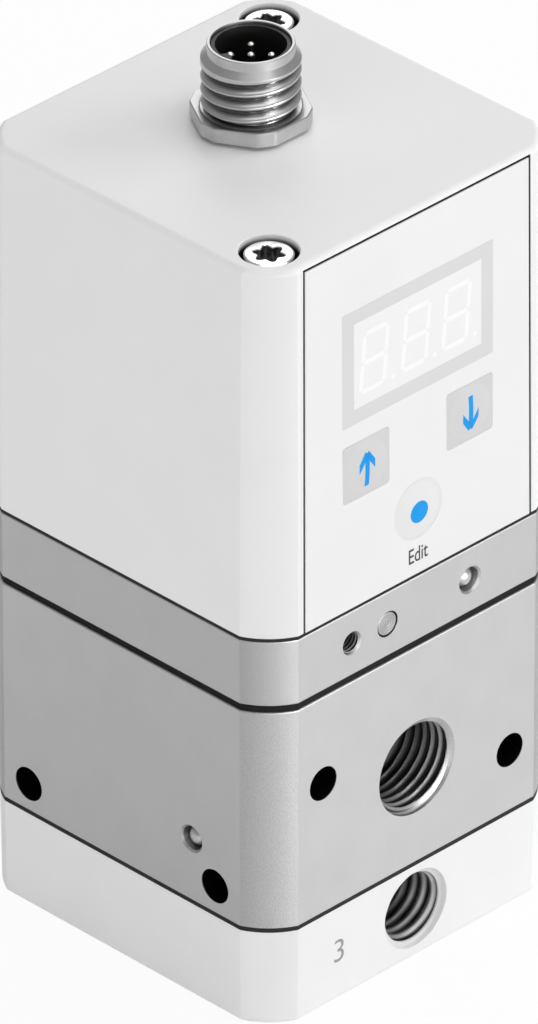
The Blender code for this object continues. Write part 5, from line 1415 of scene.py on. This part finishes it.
@dataclass
class OperatingPanel:
    """Front panel with display, digits, keys and the key's label."""

    housing: HousingShell
    key_width: float = 7.75 * MM
    key_corner: float = 0.4 * MM
    key_places: tuple[float, float] = (8.7 * MM, 73.0 * MM)
    set_level: float = 63.3 * MM
    set_radius: float = 4.0 * MM
    dome_radius: float = 3.55 * MM
    dome_height: float = 0.26 * MM
    slit: float = 0.015 * MM
    set_slit: float = 0.008 * MM
    seal_gap: float = 0.01 * MM
    seal_depth: float = 0.12 * MM
    window: tuple[float, float, float] = (21.3 * MM, 81.5 * MM, 93.1 * MM)
    digit_height: float = 8.3 * MM
    digit_width: float = 4.5 * MM
    digit_lean: float = 0.095
    blue: Tint = (0.01, 0.32, 0.80)

    def face(self, level: float) -> float:
        """Place of the leaning front on the Y axis at a level."""
        return -self.housing.column.half_width + self.housing.lean(level)

    def square(self, width: float, corner: float) -> Callable[[float], float]:
        """Radius of a square with rounded corners by angle.

        Args:
            width: Width across the flats.
            corner: Radius of the corners.

        Returns:
            Function from angle to radius.
        """
        half = width / 2
        side = half - corner

        def radius(angle: float) -> float:
            """Radius at one angle."""
            turn = abs((angle + math.pi / 4) % (math.pi / 2) - math.pi / 4)
            if half * math.tan(turn) <= side:
                return half / math.cos(turn)
            across = side * (math.cos(turn) - math.sin(turn))
            return side * (math.cos(turn) + math.sin(turn)) + math.sqrt(corner ** 2 - across ** 2)
        return radius

    def build(self, wardrobe: Wardrobe) -> None:
        """Make the panel and everything on it."""
        self.build_film(wardrobe)
        self.build_display(wardrobe)
        self.build_keys(wardrobe)
        self.build_label(wardrobe)

    def build_film(self, wardrobe: Wardrobe) -> None:
        """Make the panel plate with its openings."""
        low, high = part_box("front_panel")
        panel = self.housing.plate("panel_plate", 0.0, (self.face(low.z), self.face(high.z)), low.z, high.z)
        lens_low, lens_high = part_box("display_lens")
        half = 12.6 * MM + self.slit
        foot = lens_low.z + 0.8 * MM
        top = lens_high.z - 0.8 * MM
        panel.cut(Form.block("lens_tool", (-half, -30 * MM, foot - self.slit), (half, -20 * MM, top + self.slit)))
        x, level = self.key_places
        opening = self.square(self.key_width + 2 * self.slit, self.key_corner + self.slit)
        for place, height, shape in ((-x, level, opening), (x, level, opening),
                                     (0, self.set_level, self.set_radius + self.set_slit)):
            panel.cut(Form.turned("key_tool", [(shape, -4 * MM), (shape, 4 * MM)], 128,
                                  place=Heading.FRONT.at((place, -24 * MM, height))))
        wardrobe.dress(panel.done(), "panel_film", stands_for=["front_panel"])
        gap = self.housing.panel_gap - self.seal_gap
        fronts = (self.face(low.z) + self.seal_depth, self.face(high.z) + self.seal_depth)
        seal = self.housing.plate("panel_seal", gap, fronts, low.z, high.z + gap)
        seal.cut(self.housing.plate("seal_tool", self.seal_gap, (-30 * MM, -30 * MM), low.z - OVERRUN,
                                    high.z + self.seal_gap))
        wardrobe.dress(seal.done(), "black_rubber")

    def build_display(self, wardrobe: Wardrobe) -> None:
        """Make the display's frame, window and digits."""
        low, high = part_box("display_lens")
        half = 12.6 * MM
        foot = low.z + 0.8 * MM
        top = high.z - 0.8 * MM
        back = high.y
        lower = [(-half, self.face(foot)), (half, self.face(foot)), (half, back - 0.3 * MM), (-half, back - 0.3 * MM)]
        upper = [(-half, self.face(top)), (half, self.face(top)), (half, back - 0.3 * MM), (-half, back - 0.3 * MM)]
        lens = Form.lofted("display_lens_plate", [(lower, foot), (upper, top)])
        lens.join(Form.block("flange_tool", (low.x, self.housing.panel_seat, low.z), (high.x, back, high.z)))
        wardrobe.dress(lens.done(), "display_window", stands_for=["display_lens"])
        width, window_foot, window_top = self.window
        pane = self.slab_on_face("display_pane", [(-width / 2, window_foot), (width / 2, window_foot),
                                                  (width / 2, window_top), (-width / 2, window_top)], 0.012 * MM)
        wardrobe.dress(pane.done(), "display_window", finish=PrintedFilm("display_pane", (0.825, 0.825, 0.825), 0.3))
        for name, x in (("digit_left", -7.64 * MM), ("digit_middle", -0.69 * MM), ("digit_right", 6.09 * MM)):
            self.build_digit(wardrobe, name, x)

    def slab_on_face(self, name: str, outline: Sequence[tuple[float, float]], lift: float) -> Form:
        """Thin slab on the leaning front.

        Args:
            name: Name of the form.
            outline: Points as X and level, counter-clockwise seen from the front.
            lift: How far its front stands off the panel's face.

        Returns:
            The slab.
        """
        count = len(outline)
        front = [(x, self.face(level) - lift, level) for x, level in outline]
        back = [(x, self.face(level) + 0.004 * MM, level) for x, level in outline]
        faces: list[tuple[int, ...]] = [tuple(range(count)), tuple(range(2 * count - 1, count - 1, -1))]
        faces += [(step, step + count, (step + 1) % count + count, (step + 1) % count) for step in range(count)]
        return Form(name, front + back, faces)

    def build_digit(self, wardrobe: Wardrobe, name: str, x: float) -> None:
        """Make one leaning figure of seven bars with its point.

        Args:
            wardrobe: Finishes.
            name: Name of the figure.
            x: Middle of the figure.
        """
        stroke = 0.62 * MM
        foot = 83.05 * MM
        half_w = self.digit_width / 2
        half_h = self.digit_height / 2
        gap = 0.12 * MM

        def leaned(point: tuple[float, float]) -> tuple[float, float]:
            """Point of the figure on the panel."""
            return (x + point[0] + self.digit_lean * point[1], foot + point[1])

        inner = half_w - stroke / 2
        bars = [((-inner, stroke / 2), (inner, stroke / 2)), ((-inner, half_h), (inner, half_h)),
                ((-inner, 2 * half_h - stroke / 2), (inner, 2 * half_h - stroke / 2))]
        for side in (-inner, inner):
            bars += [((side, stroke / 2), (side, half_h)), ((side, half_h), (side, 2 * half_h - stroke / 2))]
        figure: Form | None = None
        for index, (start, end) in enumerate(bars):
            run = Vector(end) - Vector(start)
            along = run.normalized()
            across = Vector((-along.y, along.x)) * stroke / 2
            tip = along * stroke / 2
            first = Vector(start) + along * gap
            last = Vector(end) - along * gap
            corners = [first, first + tip - across, last - tip - across, last, last - tip + across, first + tip + across]
            bar = self.slab_on_face(f"{name}_{index}", [leaned((c.x, c.y)) for c in corners], 0.02 * MM)
            if figure is None:
                figure = bar
                figure.item.name = name
            else:
                self.merge(figure, bar)
        dot = [leaned((half_w + 1.22 * MM + 0.33 * MM * math.cos(a), 0.33 * MM + 0.33 * MM * math.sin(a)))
               for a in (math.tau * k / 16 for k in range(16))]
        self.merge(figure, self.slab_on_face(f"{name}_dot", dot, 0.02 * MM))
        finish = PrintedFilm("display_figures", (0.89, 0.89, 0.89), 0.3)
        wardrobe.dress(figure.done(), "display_window", finish=finish)

    def merge(self, first: Form, second: Form) -> None:
        """Put a separate form into the first one's mesh."""
        mesh = first.item.data
        points = [tuple(v.co) for v in mesh.vertices] + [tuple(v.co) for v in second.item.data.vertices]
        shift = len(mesh.vertices)
        faces = [tuple(p.vertices) for p in mesh.polygons]
        faces += [tuple(v + shift for v in p.vertices) for p in second.item.data.polygons]
        mesh.clear_geometry()
        mesh.from_pydata(points, [], faces)
        bpy.data.objects.remove(second.item, do_unlink=True)

    def dome(self, distance: float) -> float:
        """Height of a key's dome at a distance from its middle."""
        share = min(1.0, distance / self.dome_radius)
        return self.dome_height * (1 - share ** 2)

    def build_keys(self, wardrobe: Wardrobe) -> None:
        """Make the three keys with what is printed on them."""
        x, level = self.key_places
        square = self.square(self.key_width, self.key_corner)
        flange = self.square(9.4 * MM, 1.7 * MM)
        grey = (0.605, 0.605, 0.605)
        # A little paler colour for the dome: painted highlight.
        dome_highlight_grey = (0.62, 0.62, 0.62)
        for name, place, role, points_up in (("up", -x, Role.KEY_UP, True), ("down", x, Role.KEY_DOWN, False)):
            finish = KeyFilm(f"key_{name}_film", grey, dome_highlight_grey, (place, level), self.dome_radius)
            key = self.key(f"{name}_key", place, level, square, flange)
            wardrobe.dress(key, "key_film", role, [f"key_{name}"], finish)
            self.build_arrow(wardrobe, name, place, level, role, points_up)
        film = (0.735, 0.735, 0.735)
        # The round key's dome is painted a little paler too: painted highlight.
        finish = KeyFilm("key_set_film", film, (0.75, 0.75, 0.75), (0.0, self.set_level), self.dome_radius)
        key = self.key("set_key", 0.0, self.set_level, self.set_radius, 4.8 * MM)
        wardrobe.dress(key, "key_film", Role.KEY_SET, ["key_set"], finish)
        lift = self.dome(0) + 0.012 * MM
        front = self.face(self.set_level - 0.6 * MM)
        rings: list[Ring] = []
        for share in (1.0, 0.85, 0.6, 0.3):
            rings.append((1.45 * MM * share, self.dome(1.45 * MM * share) + 0.012 * MM))
        dot = Form.turned("set_key_dot", [(1.45 * MM, self.dome(1.45 * MM) - 0.05 * MM), *rings, (0, lift)], 48,
                          place=Heading.FRONT.at((0, front, self.set_level - 0.3 * MM)))
        wardrobe.dress(dot.done(), "key_film", Role.KEY_SET, finish=PrintedFilm("blue_print", self.blue, gloss=0.1))

    def key(self, name: str, x: float, level: float, cap: Radius, flange: Radius) -> bpy.types.Object:
        """Key cap with a low dome.

        Args:
            name: Name of the piece.
            x: Middle of the key on the X axis.
            level: Level of its middle.
            cap: Shape of the cap.
            flange: Shape of the flange behind the panel.

        Returns:
            The finished key.
        """
        seat = -22.9 * MM
        rise = seat - self.face(level)
        rings: list[Ring] = [(flange, -0.6 * MM), (flange, 0.0), (cap, 0.0), (cap, rise)]
        for step in range(13):
            distance = self.dome_radius * (1 - step / 13)
            rings.append((distance, rise + self.dome(distance)))
        rings.append((0, rise + self.dome(0)))
        return Form.turned(name, rings, 128, place=Heading.FRONT.at((x, seat, level))).done()

    def build_arrow(self, wardrobe: Wardrobe, name: str, x: float, level: float, role: Role, points_up: bool) -> None:
        """Print an arrow on a key's dome.

        Args:
            wardrobe: Finishes.
            name: Name of the key.
            x: Middle of the key.
            level: Level of its middle.
            role: Body of the key.
            points_up: Whether the arrow points up.
        """
        way = 1 if points_up else -1
        drop = 0.22 * MM
        tip = 2.08 * MM * way - drop
        tail = -2.43 * MM * way - drop
        barb = tip - 1.85 * MM * way
        side = 1.3 * MM
        width = 0.72 * MM
        strokes = [((0.0, tail), (0.0, tip - 0.3 * MM * way)), ((-side, barb), (0.0, tip)), ((side, barb), (0.0, tip))]
        arrow: Form | None = None
        front = self.face(level)
        for index, (start, end) in enumerate(strokes):
            bar = self.draped_bar(f"arrow_{name}_{index}", Vector(start), Vector(end), width, (x, front, level))
            if arrow is None:
                arrow = bar
                arrow.item.name = f"{name}_arrow"
            else:
                self.merge(arrow, bar)
        wardrobe.dress(arrow.done(60), "key_film", role, finish=PrintedFilm("blue_print", self.blue, gloss=0.1))

    def draped_bar(self, name: str, start: Vector, end: Vector, width: float, place: Sequence[float]) -> Form:
        """Flat bar laid over the dome.

        Args:
            name: Name of the form.
            start: First end, from the key's middle.
            end: Second end.
            width: Width of the bar.
            place: Middle of the key's face.

        Returns:
            The bar.
        """
        steps = 12
        along = (end - start).normalized()
        across = along.orthogonal() * width / 2
        points = []
        for depth in (0.014 * MM, -0.04 * MM):
            for step in range(steps + 1):
                spot = start.lerp(end, step / steps)
                for side in (-across, Vector((0.0, 0.0)), across):
                    corner = spot + side
                    if along.x:
                        corner -= along * (side.x / along.x) * (1 - step / steps)
                    lift = self.dome(corner.length) + depth
                    points.append((place[0] + corner.x, place[1] - lift, place[2] + corner.y))
        half = 3 * (steps + 1)
        faces = []
        for step in range(steps):
            a = 3 * step
            for shift in (0, 1):
                quad = (a + shift, a + shift + 1, a + shift + 4, a + shift + 3)
                faces.append(quad)
                faces.append(tuple(reversed([corner + half for corner in quad])))
            faces.append((a + half, a, a + 3, a + 3 + half))
            faces.append((a + 2, a + 2 + half, a + 5 + half, a + 5))
        for first in (0, 3 * steps):
            quad = [first, first + 1, first + 1 + half, first + half]
            second = [first + 1, first + 2, first + 2 + half, first + 1 + half]
            if first == 0:
                quad.reverse()
                second.reverse()
            faces += [tuple(quad), tuple(second)]
        form = Form(name, points, faces)
        normal = form.item.data.polygons[0].normal
        if normal.y > 0:
            form.item.data.flip_normals()
        return form

    def build_label(self, wardrobe: Wardrobe) -> None:
        """Print the plain word under the round key."""
        curve = bpy.data.curves.new("key_word", "FONT")
        curve.body = "Edit"
        curve.size = 2.9 * MM
        curve.extrude = 0.012 * MM
        curve.offset = 0.02 * MM
        curve.align_x = "CENTER"
        item = bpy.data.objects.new("key_word", curve)
        level = 56.15 * MM
        lean = math.atan2(self.housing.draft, self.housing.top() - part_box("front_panel")[0].z)
        item.matrix_world = Matrix.Translation((-0.05 * MM, self.face(level), level)) @ Matrix.Rotation(
            math.pi / 2 - lean, 4, "X") @ Matrix.Diagonal((0.74, 1.0, 1.0, 1.0))
        bpy.context.scene.collection.objects.link(item)
        wardrobe.dress(item, "panel_film", finish=PrintedFilm("grey_print", (0.035, 0.035, 0.035), 0.5))


@dataclass
class PlugConnector:
    """Round plug connector with hexagon, thread, insert and pins."""

    housing: HousingShell
    shank_radius: float = 5.1 * MM
    shank_length: float = 8.8 * MM
    bore_radius: float = 4.5 * MM
    hexagon_width: float = 13.7 * MM
    hexagon_reach: float = 7.26 * MM
    hexagon_height: float = 1.9 * MM
    thread_radius: float = 6.0 * MM
    thread_depth: float = 0.85 * MM
    thread_pitch: float = 1.75 * MM
    thread_start: float = 2.4 * MM
    neck_radius: float = 5.25 * MM
    neck_height: float = 1.25 * MM
    land: float = 0.25 * MM
    height: float = 10.4 * MM
    socket_radius: float = 4.825 * MM
    pin_radius: float = 0.5 * MM
    pin_rise: float = 0.25 * MM
    pin_tip: float = 1.75 * MM

    def foot(self) -> tuple[float, float, float]:
        """Middle of the seat on the housing."""
        return (0.0, self.housing.connector_row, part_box("connector_shell")[0].z + self.shank_length)

    def hexagon(self, inset: float) -> Callable[[float], float]:
        """Radius of the hexagon with cut corners by angle.

        Args:
            inset: Distance that the outline stands in.

        Returns:
            Function from angle to radius.
        """
        def radius(angle: float) -> float:
            """Radius at one angle."""
            flat = (self.hexagon_width / 2 - inset) / math.cos(angle % (math.pi / 3) - math.pi / 6)
            corner = (angle + math.pi / 6) % (math.pi / 3) - math.pi / 6
            return min(flat, (self.hexagon_reach - inset) / math.cos(corner))
        return radius

    def build(self, wardrobe: Wardrobe) -> None:
        """Make the shell, the insert and the pins."""
        place = Heading.UP.at(self.foot())
        foot = self.foot()
        neck_foot = foot[2] + self.height - self.neck_height - (self.thread_radius - self.neck_radius)
        # Painted shade in the thread's roots, which stops below the neck.
        finish = TurnedMetal("plug_nickel", (0.57, 0.57, 0.57), 0.3, Cut.ROUND_Z, (foot[0], foot[1]), 0.2, 0.0002,
                             self.thread_radius - 0.12 * MM, self.thread_radius - self.thread_depth + 0.05 * MM, 0.22,
                             neck_foot)
        wardrobe.dress(self.shell(place).done(28), "nickel_plate", stands_for=["connector_shell"], finish=finish)
        self.build_insert(wardrobe, place)

    def shell(self, place: Matrix) -> Form:
        """Shell in one piece, from the shank to the rim."""
        neck_foot = self.height - self.neck_height
        cone_foot = neck_foot - (self.thread_radius - self.neck_radius)
        thread = Thread(self.thread_radius - self.thread_depth, self.thread_radius, self.thread_pitch, 0.85)
        top = self.hexagon_height
        bevel = 0.12 * MM
        rings: list[Ring] = [
            (self.shank_radius, -self.shank_length), (self.shank_radius, 0.0), (self.hexagon(bevel), 0.0),
            (self.hexagon(0.0), bevel), (self.hexagon(0.0), top - bevel), (self.hexagon(bevel), top),
            (self.thread_radius + 0.22 * MM, top), (self.thread_radius + 0.02 * MM, top - 0.1 * MM),
            (self.thread_radius - self.thread_depth + 0.05 * MM, top + 0.05 * MM)]
        rows = 96
        start = top + 0.15 * MM
        for row in range(rows + 1):
            height = start + (neck_foot - start) * row / rows
            fade = min(1.0, max(0.0, (cone_foot - self.land - height) / (0.45 * MM)))
            cap = self.thread_radius - max(0.0, height - cone_foot)
            grow = min(1.0, max(0.0, (height - start) / (0.55 * MM)))
            cap = min(cap, self.thread_radius - self.thread_depth * (1 - grow) + 0.02 * MM)
            rings.append((thread.reach(height, fade, cap), height))
        rim = self.height
        soft = 0.08 * MM
        rings += [(self.neck_radius, neck_foot + 0.05 * MM), (self.neck_radius, rim - soft),
                  (self.neck_radius - soft, rim), (self.socket_radius + soft, rim), (self.socket_radius, rim - soft),
                  (self.socket_radius, 1.3 * MM), (self.bore_radius, 1.3 * MM), (self.bore_radius, -self.shank_length)]
        return Form.turned("plug_shell", rings, 144, True, place)

    def build_insert(self, wardrobe: Wardrobe, place: Matrix) -> None:
        """Make the black insert and the five pins in it."""
        outer = self.socket_radius - 0.04 * MM
        cup = outer - 0.5 * MM
        rim = self.height - 0.35 * MM

        def cup_reach(angle: float) -> float:
            """Radius of the cup, with the coding key at the left."""
            return cup - (0.7 * MM if abs(angle - math.pi) < 0.14 else 0.0)

        lower = self.bore_radius - 0.3 * MM
        insert = Form.turned("plug_insert", [
            (lower, -self.shank_length), (lower, 1.6 * MM), (outer, 1.6 * MM), (outer, rim - 0.08 * MM),
            (outer - 0.08 * MM, rim), (cup_reach, rim), (cup_reach, 2.0 * MM)], 96, place=place)
        pins = [node for node in frame["nodes"] if node.startswith("contact_pin")]
        for node in pins:
            low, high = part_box(node)
            middle = (low + high) / 2
            insert.drill(Heading.DOWN, (middle.x, middle.y, place.translation.z + 2.0 * MM), 12 * MM,
                         self.pin_radius + 0.1 * MM, segments=24)
            length = high.z - low.z + self.pin_rise
            rings: list[Ring] = [(self.pin_radius, 0.0), (self.pin_radius, length - 0.35 * MM)]
            rings += [(self.pin_radius * math.cos(turn), length - 0.35 * MM * (1 - math.sin(turn)))
                      for turn in (0.35, 0.7, 1.05, 1.35)]
            rings.append((0, length))
            pin = Form.turned(node + "_turned", rings, 24, place=Heading.UP.at((middle.x, middle.y, low.z)))
            wardrobe.dress(pin.done(50), "plated_contacts", stands_for=[node])
        wardrobe.dress(insert.done(), "black_plastic", stands_for=["connector_insert"])


@dataclass
class Screws:
    """Cover screws with a six-lobed recess."""

    fastenings: Fastenings
    head_radius: float = 3.05 * MM
    head_height: float = 2.2 * MM
    lobe_reach: float = 1.95 * MM
    lobe_waist: float = 1.36 * MM
    lobe_depth: float = 1.8 * MM

    def lobes(self, grow: float) -> Callable[[float], float]:
        """Radius of the six-lobed recess by angle.

        Args:
            grow: Extra radius.

        Returns:
            Function from angle to radius.
        """
        def radius(angle: float) -> float:
            """Radius at one angle."""
            swing = (1 + math.cos(6 * angle)) / 2
            return self.lobe_waist + (self.lobe_reach - self.lobe_waist) * swing ** 0.9 + grow
        return radius

    def build(self, wardrobe: Wardrobe) -> None:
        """Make the two cover screws."""
        for name in ("cover_screw_front", "cover_screw_back"):
            low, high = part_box(name)
            middle = (low + high) / 2
            seat = high.z - self.head_height - low.z
            rim = self.head_height + seat
            rings: list[Ring] = [
                (1.6 * MM, 0.0), (2.0 * MM, 0.4 * MM), (2.0 * MM, seat), (self.head_radius, seat),
                (self.head_radius, rim - 0.3 * MM), (self.head_radius - 0.08 * MM, rim - 0.12 * MM),
                (self.head_radius - 0.25 * MM, rim - 0.02 * MM), (self.head_radius - 0.4 * MM, rim),
                (self.lobes(0.12 * MM), rim), (self.lobes(0.0), rim - 0.1 * MM),
                (self.lobes(-0.05 * MM), rim - self.lobe_depth), (0, rim - self.lobe_depth - 0.25 * MM)]
            screw = Form.turned(name + "_turned", rings, 96, place=Heading.UP.at((middle.x, middle.y, low.z)))
            # Painted shade in the six-lobed recess, in mid grey.
            recess = Bore(Axis.DOWN, (middle.x, middle.y), low.z + rim, self.lobe_reach, clear=0.12 * MM)
            finish = TurnedMetal(name + "_steel", (0.90, 0.90, 0.90), 0.16, Cut.ROUND_Z, (middle.x, middle.y), 0.3,
                                 0.002, bores=(recess,), bore_shade_colour=(0.4, 0.4, 0.4))
            wardrobe.dress(screw.done(35), "bright_steel", stands_for=[name], finish=finish)


@dataclass
class PoppetSpring:
    """Round wire spring that shuts the poppet."""

    turns: float = 3.5
    closed_turns: float = 0.7
    wire_radius: float = 0.4 * MM
    stroke: float = 2.0 * MM
    turn_steps: int = 40
    sides: int = 12

    def rise(self, turn: float, climb: float) -> float:
        """Height of the wire, which lies closed at both ends.

        Args:
            turn: Turns from the foot.
            climb: Height of the last point.

        Returns:
            The height over the first point.
        """
        closed = 2 * self.wire_radius * self.closed_turns
        if turn < self.closed_turns:
            return closed * turn / self.closed_turns
        if turn > self.turns - self.closed_turns:
            return climb - closed * (self.turns - turn) / self.closed_turns
        share = (turn - self.closed_turns) / (self.turns - 2 * self.closed_turns)
        return closed + share * (climb - 2 * closed)

    def build(self, wardrobe: Wardrobe) -> None:
        """Wind the spring between its seats."""
        low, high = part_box("poppet_spring")
        radius = (high.x - low.x) / 2 - self.wire_radius
        climb = high.z - low.z - 2 * self.wire_radius
        steps = round(self.turns * self.turn_steps)
        points: list[tuple[float, float, float]] = []
        rows: list[range] = []
        for step in range(steps + 1):
            turn = self.turns * step / steps
            rows.append(range(len(points), len(points) + self.sides))
            for side in range(self.sides):
                lean = -math.tau * side / self.sides
                reach = radius + self.wire_radius * math.cos(lean)
                level = low.z + self.wire_radius * (1 + math.sin(lean)) + self.rise(turn, climb)
                points.append((reach * math.cos(math.tau * turn), reach * math.sin(math.tau * turn), level))
        faces: list[tuple[int, ...]] = [tuple(reversed(rows[0])), tuple(rows[-1])]
        for lower, upper in zip(rows, rows[1:]):
            faces += Form._band(lower, upper)
        spring = Form("poppet_coil_spring", points, faces).done(50)
        wardrobe.dress(spring, "bright_steel", stands_for=["poppet_spring"])
        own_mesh(spring)


@dataclass
class Studio:
    """Camera, lamps, white floor and surroundings of the picture."""

    camera_place: tuple[float, float, float] = (-1.11121, -1.11121, 1.02639)
    camera_aim: tuple[float, float, float] = (-0.001145, -0.001145, 0.052935)
    lens: float = 543.71
    world_light: float = 0.33
    glossy_share: float = 0.05
    floor_glow: float = 0.93
    floor_gloss: float = 0.1

    def build(self) -> None:
        """Make the studio."""
        scene = bpy.context.scene
        scene.view_settings.view_transform = "Standard"
        self.build_camera(scene)
        self.build_world(scene)
        self.build_floor()
        self.build_lamp("key_lamp", (1.3, -0.85, 0.5), 1.0, 12.0, glossy=False)
        self.build_lamp("front_lamp", (0.4, -1.5, 0.35), 0.5, 4.0)
        self.build_lamp("sheen_lamp", (0.1, -1.5, 0.15), 0.5, 28.0, diffuse=False)
        self.build_lamp("corner_lamp", (-0.85, -1.2, 0.15), 0.5, 4.0, diffuse=False)
        self.build_lamp("side_lamp", (-1.35, -0.3, 0.14), 0.8, 8.7, glossy=False)
        self.build_lamp("top_lamp", (0.2, -0.2, 1.6), 1.4, 9.8)
        self.build_lamp("rim_lamp", (1.0, 1.0, 1.0), 1.0, 4.2)

    def build_camera(self, scene: bpy.types.Scene) -> None:
        """Place the camera at the photograph's angle."""
        data = bpy.data.cameras.new("camera")
        data.lens = self.lens
        data.clip_end = 20.0
        camera = bpy.data.objects.new("camera", data)
        camera.location = self.camera_place
        aim = Vector(self.camera_aim) - Vector(self.camera_place)
        camera.rotation_euler = aim.to_track_quat("-Z", "Y").to_euler()
        scene.collection.objects.link(camera)
        scene.camera = camera

    def build_world(self, scene: bpy.types.Scene) -> None:
        """White surroundings that show at full white and light more gently."""
        world = bpy.data.worlds.new("studio")
        world.use_nodes = True
        tree = world.node_tree
        background = tree.nodes["Background"]
        path = tree.nodes.new("ShaderNodeLightPath")
        seen = tree.nodes.new("ShaderNodeMath")
        seen.operation = "MULTIPLY_ADD"
        tree.links.new(path.outputs["Is Glossy Ray"], seen.inputs[0])
        seen.inputs[1].default_value = self.glossy_share
        straight = tree.nodes.new("ShaderNodeMath")
        tree.links.new(path.outputs["Is Camera Ray"], straight.inputs[0])
        tree.links.new(path.outputs["Is Transmission Ray"], straight.inputs[1])
        tree.links.new(straight.outputs[0], seen.inputs[2])
        strength = tree.nodes.new("ShaderNodeMapRange")
        strength.inputs["To Min"].default_value = self.world_light
        tree.links.new(seen.outputs[0], strength.inputs["Value"])
        tree.links.new(strength.outputs[0], background.inputs["Strength"])
        background.inputs["Color"].default_value = (1.0, 1.0, 1.0, 1.0)
        scene.world = world

    def build_floor(self) -> None:
        """White floor that keeps a soft shadow."""
        reach = 6.0
        floor = Form("floor", [(-reach, -reach, -0.0001), (reach, -reach, -0.0001), (reach, reach, -0.0001),
                               (-reach, reach, -0.0001)], [(0, 1, 2, 3)])
        shader = Shader("floor_white")
        shader.surface(Base_Color=(0.9, 0.9, 0.9), Roughness=0.9)
        tree = shader.tree
        glow = tree.nodes.new("ShaderNodeEmission")
        path = tree.nodes.new("ShaderNodeLightPath")
        camera = Socket(shader, path.outputs["Is Camera Ray"])
        glossy = Socket(shader, path.outputs["Is Glossy Ray"])
        through = Socket(shader, path.outputs["Is Transmission Ray"])
        seen = (camera + through) * self.floor_glow + glossy * self.floor_gloss
        mix = tree.nodes.new("ShaderNodeMixShader")
        tree.links.new(seen.link, mix.inputs[0])
        tree.links.new(shader.principled.outputs[0], mix.inputs[1])
        tree.links.new(glow.outputs[0], mix.inputs[2])
        tree.links.new(mix.outputs[0], tree.nodes["Material Output"].inputs["Surface"])
        floor.item.data.materials.append(shader.material)

    def build_lamp(self, name: str, place: Sequence[float], size: float, power: float, glossy: bool = True,
                   diffuse: bool = True) -> None:
        """Square lamp that looks at the regulator.

        Args:
            name: Name of the lamp.
            place: Where it stands, in metres.
            size: Length of its side.
            power: Its power in watts.
            glossy: Whether it shows in gloss and on metal.
            diffuse: Whether it lights matt surfaces.
        """
        data = bpy.data.lights.new(name, "AREA")
        data.size = size
        data.energy = power
        lamp = bpy.data.objects.new(name, data)
        lamp.location = place
        lamp.visible_glossy = glossy
        lamp.visible_diffuse = diffuse
        aim = Vector((0.0, 0.0, 0.05)) - Vector(place)
        lamp.rotation_euler = aim.to_track_quat("-Z", "Y").to_euler()
        bpy.context.scene.collection.objects.link(lamp)


def main() -> None:
    """Build the studio and the dressed regulator."""
    logging.basicConfig(level=logging.INFO, format="%(message)s")
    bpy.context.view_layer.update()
    Studio().build()
    wardrobe = Wardrobe()
    column = Column()
    fastenings = Fastenings()
    block = ValveBlock(column, fastenings)
    housing = HousingShell(column, fastenings)
    ExhaustFoot(column, fastenings).build(wardrobe)
    block.build(wardrobe)
    PilotPlate(column, fastenings, block).build(wardrobe)
    Gaskets(column, fastenings, block, housing).build(wardrobe)
    housing.build(wardrobe)
    OperatingPanel(housing).build(wardrobe)
    PlugConnector(housing).build(wardrobe)
    Screws(fastenings).build(wardrobe)
    PoppetSpring().build(wardrobe)
    wardrobe.dress_nodes()
    bpy.context.view_layer.update()


if __name__ == "__main__":
    main()
